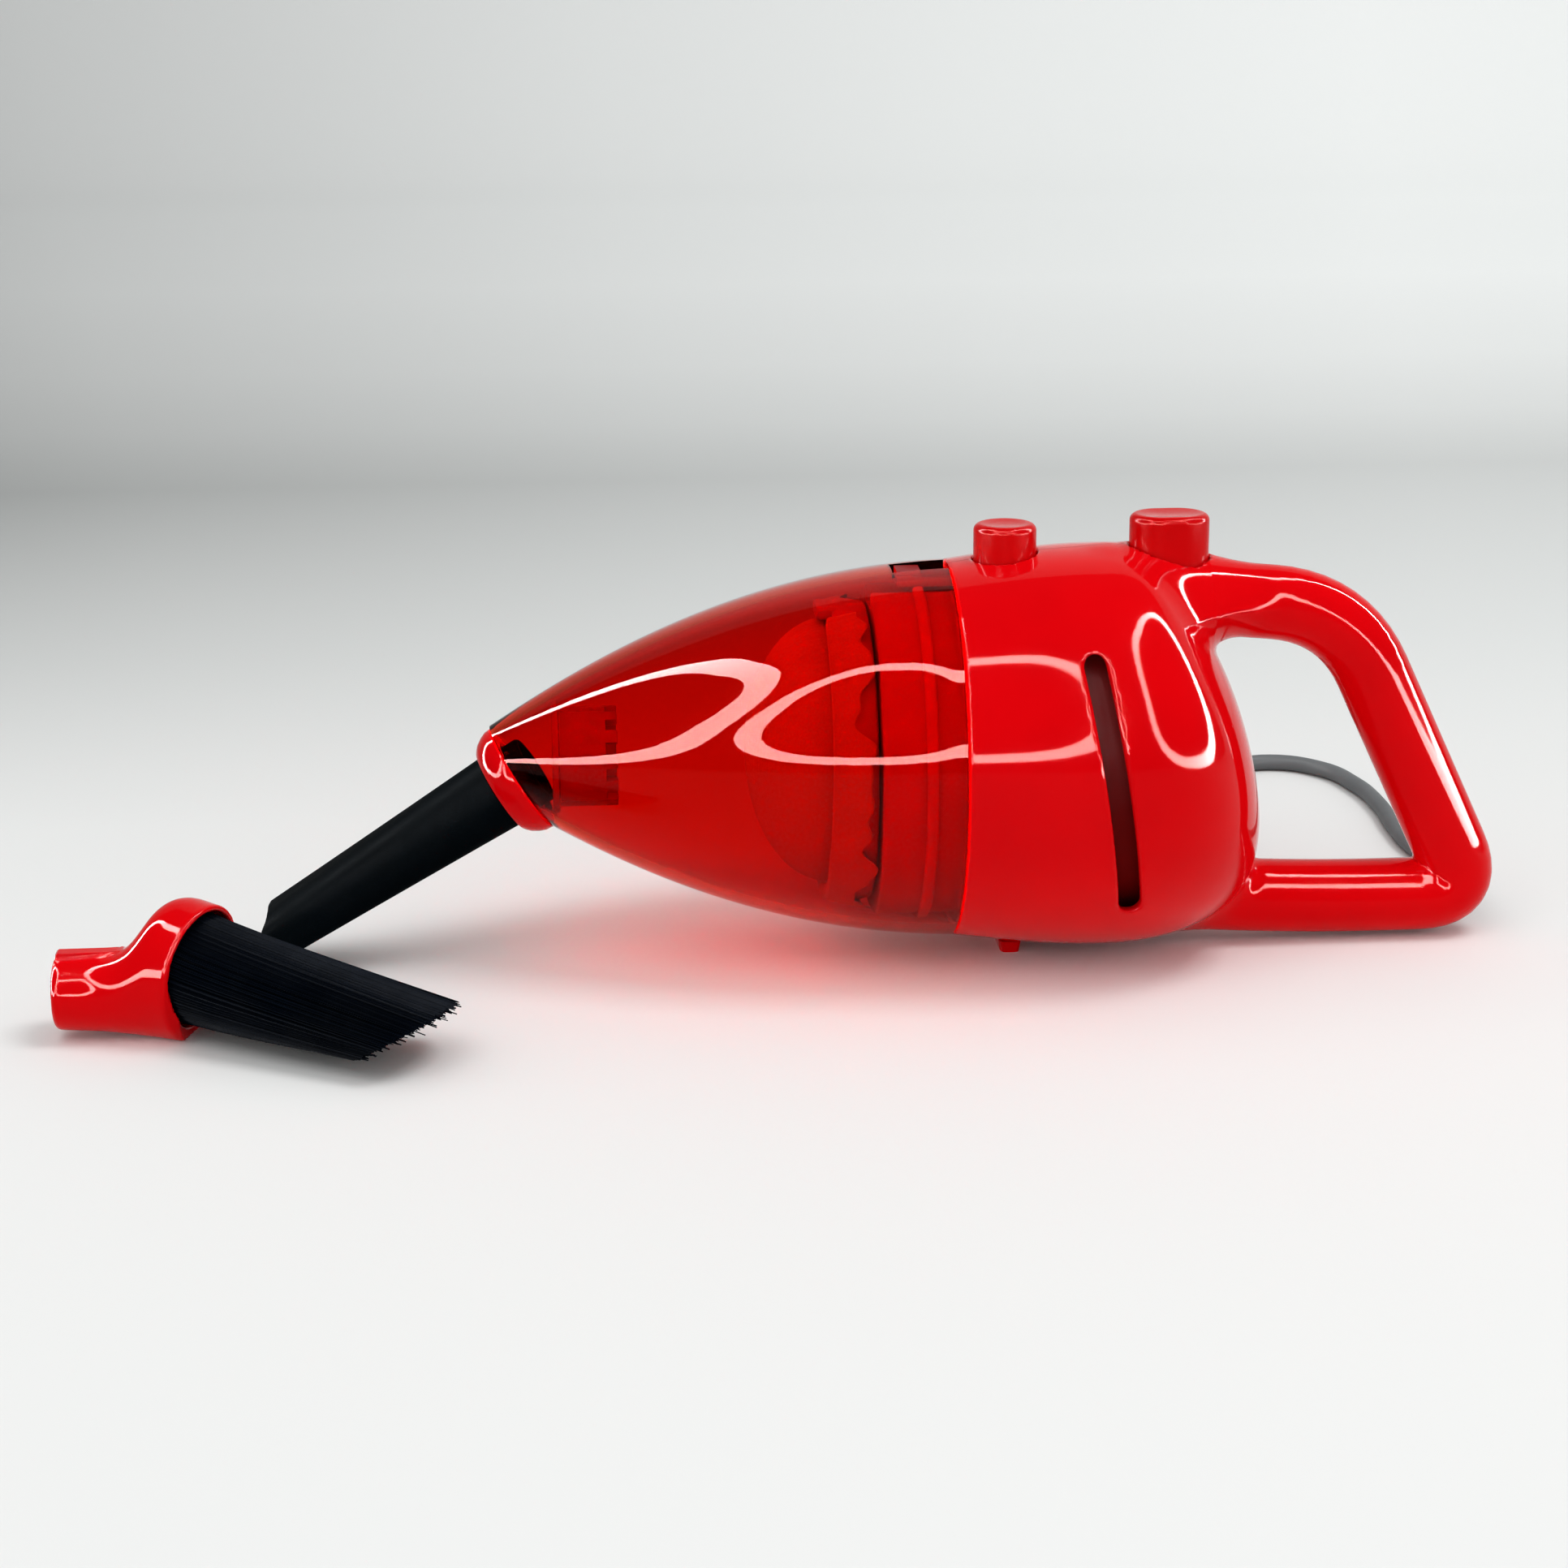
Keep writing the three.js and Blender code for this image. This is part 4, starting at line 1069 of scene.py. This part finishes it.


# ---------------------------------------------------------------- stage and lights

# The table's painted light and shade by depth, in metres: lighter near the object and far off, with painted
# shade darkest in a band behind it.
FLOOR_PAINTED_SHADE = [(-0.3, (0.765, 0.77, 0.765)), (-0.05, (0.785, 0.785, 0.78)), (0.12, (0.73, 0.735, 0.73)),
               (0.21, (0.68, 0.69, 0.685)), (0.3, (0.645, 0.655, 0.65)), (0.362, (0.62, 0.63, 0.625)),
               (0.424, (0.59, 0.60, 0.595)), (0.464, (0.635, 0.645, 0.64)), (0.523, (0.71, 0.72, 0.715)),
               (0.646, (0.815, 0.825, 0.82)), (0.88, (0.935, 0.945, 0.94)), (1.2, (0.99, 1, 0.995))]
# Painted shade from left to right, darker on the left, by the slope of the line from FAN_CENTRE, and where
# in depth it fades in.
SIDE_PAINTED_SHADE = [(-0.24, (0.56, 0.56, 0.56)), (-0.17, (0.66, 0.66, 0.66)), (0.0, (0.84, 0.84, 0.84)),
              (0.11, (0.925, 0.925, 0.925)), (0.24, (1, 1, 1))]
SIDE_FADE = [(0.08, (0, 0, 0)), (0.42, (1, 1, 1))]
FAN_CENTRE = Vector((-0.036, -0.49))


def stage_material():
    """Pale paint with painted light and shade that changes with depth, and fans out sideways from a point in
    front.
    """
    made = material("stage", (0.8, 0.8, 0.8), 0.6, Specular_IOR_Level=0.0)
    links = made.node_tree.links
    place = add_node(made, "ShaderNodeTexCoord")
    split = add_node(made, "ShaderNodeSeparateXYZ")
    links.new(place.outputs["Object"], split.inputs["Vector"])

    def math_node(operation, first, second):
        node = add_node(made, "ShaderNodeMath", operation=operation)
        for socket, value in zip(node.inputs, (first, second)):
            if isinstance(value, float):
                socket.default_value = value
            else:
                links.new(value, socket)
        return node.outputs["Value"]

    def shade(value, stops):
        low, high = stops[0][0], stops[-1][0]
        share = add_node(made, "ShaderNodeMapRange")
        share.inputs["From Min"].default_value = low
        share.inputs["From Max"].default_value = high
        links.new(value, share.inputs["Value"])
        ramp = add_node(made, "ShaderNodeValToRGB")
        while len(ramp.color_ramp.elements) < len(stops):
            ramp.color_ramp.elements.new(0.5)
        for element, (where, color) in zip(ramp.color_ramp.elements, stops):
            element.position = (where - low) / (high - low)
            element.color = (*color, 1)
        links.new(share.outputs["Result"], ramp.inputs["Fac"])
        return ramp.outputs["Color"]

    # Painted shade: the table's colour is darkened by depth and towards the left, in place of the room's
    # falloff of light.
    along = math_node("SUBTRACT", split.outputs["X"], FAN_CENTRE.x)
    away = math_node("SUBTRACT", split.outputs["Y"], FAN_CENTRE.y)
    aside = add_node(made, "ShaderNodeMix", data_type="RGBA")
    aside.inputs[6].default_value = (1, 1, 1, 1)
    links.new(shade(split.outputs["Y"], SIDE_FADE), aside.inputs["Factor"])
    links.new(shade(math_node("DIVIDE", along, away), SIDE_PAINTED_SHADE), aside.inputs[7])
    product = add_node(made, "ShaderNodeMix", data_type="RGBA", blend_type="MULTIPLY")
    product.inputs["Factor"].default_value = 1
    links.new(shade(split.outputs["Y"], FLOOR_PAINTED_SHADE), product.inputs[6])
    links.new(aside.outputs[2], product.inputs[7])
    drive(made, product.outputs[2], "Base Color")
    return made


def add_stage():
    """A pale table that sweeps up, a long way back, into a pale wall."""
    made = stage_material()
    half, near, wall_y, cove, top, steps = 4.0, -3.0, 1.7, 0.4, 2.4, 24
    profile = [(near, 0.0)]
    for k in range(steps + 1):
        angle = k / steps * math.pi / 2
        profile.append((wall_y - cove + cove * math.sin(angle), cove - cove * math.cos(angle)))
    profile.append((wall_y, top))
    points = [(x, y, z) for y, z in profile for x in (-half, half)]
    faces = [(2 * i, 2 * i + 1, 2 * i + 3, 2 * i + 2) for i in range(len(profile) - 1)]
    mesh = bpy.data.meshes.new("stage")
    mesh.from_pydata(points, [], faces)
    mesh.materials.append(made)
    mesh.shade_smooth()
    stage = add_object("stage", mesh)


def sky(azimuth, elevation, distance):
    """A place round the object: azimuth 0 is in front, at -Y, and grows towards +X."""
    a, e = math.radians(azimuth), math.radians(elevation)
    return Vector((math.sin(a) * math.cos(e), -math.cos(a) * math.cos(e), math.sin(e))) * distance


LAMP_CENTRE = Vector((-0.02, 0.0, 0.04))
LIGHT_AIM = Vector((-0.02, 0, 0.03))
LAMP_STRENGTH = 125


def add_loop_lamp(name, azimuth, elevation, half_wide, half_tall, width):
    """A glowing band, width degrees wide, round a rounded window shape; it shows only as a reflection."""
    steps, distance, boxy = 96, 1.05, 0.7
    points, faces = [], []
    for j in range(steps):
        c = signed_power(math.cos(TURN * j / steps), boxy)
        s = signed_power(math.sin(TURN * j / steps), boxy)
        for reach in (-width / 2, width / 2):
            direction = sky(azimuth + (half_wide + reach) * c, elevation + (half_tall + reach) * s, distance)
            points.append(LAMP_CENTRE + direction)
    for j in range(steps):
        k = (j + 1) % steps
        faces.append((2 * j, 2 * j + 1, 2 * k + 1, 2 * k))
    mesh = bpy.data.meshes.new(name)
    mesh.from_pydata(points, [], faces)
    glow = bpy.data.materials.new(name)
    glow.use_nodes = True
    tree = glow.node_tree
    tree.nodes.remove(tree.nodes["Principled BSDF"])
    lamp = tree.nodes.new("ShaderNodeEmission")
    lamp.inputs["Strength"].default_value = LAMP_STRENGTH
    tree.links.new(lamp.outputs["Emission"], tree.nodes["Material Output"].inputs["Surface"])
    mesh.materials.append(glow)
    band = add_object(name, mesh)
    band.visible_camera = False
    band.visible_diffuse = False
    band.visible_transmission = False
    band.visible_shadow = False


def add_area(name, azimuth, elevation, distance, size, energy):
    """A square lamp that lights the object but leaves no reflection."""
    data = bpy.data.lights.new(name, "AREA")
    data.energy = energy
    data.size = size
    lamp = add_object(name, data)
    lamp.location = sky(azimuth, elevation, distance)
    lamp.rotation_euler = (lamp.location - LIGHT_AIM).to_track_quat("Z", "Y").to_euler()
    lamp.visible_glossy = False


def add_world():
    """Even room light; gloss sees a darker room, so that colours stay deep."""
    seen, seen_by_gloss = 0.8, 0.08
    world = bpy.data.worlds.new("room")
    bpy.context.scene.world = world
    world.use_nodes = True
    world.cycles.sampling_method = "NONE"
    tree = world.node_tree
    room = tree.nodes["Background"]
    room.inputs["Color"].default_value = (0.97, 0.985, 0.98, 1)
    path = tree.nodes.new("ShaderNodeLightPath")
    strength = tree.nodes.new("ShaderNodeMapRange")
    strength.inputs["To Min"].default_value = seen
    strength.inputs["To Max"].default_value = seen_by_gloss
    tree.links.new(path.outputs["Is Glossy Ray"], strength.inputs["Value"])
    tree.links.new(strength.outputs["Result"], room.inputs["Strength"])


def add_lights():
    add_world()
    add_area("key", -35, 55, 1.2, 0.7, 2.2)
    add_area("over", 70, 65, 1.3, 0.5, 5.6)
    add_loop_lamp("loop_left", -80, 31, 36, 31, 6.5)
    add_loop_lamp("loop_front", -13.5, 36, 22.5, 29, 4.5)
    add_loop_lamp("loop_right", 67, 35, 41, 34, 4.5)


add_stage()
add_lights()
bpy.context.scene.view_settings.view_transform = "Standard"
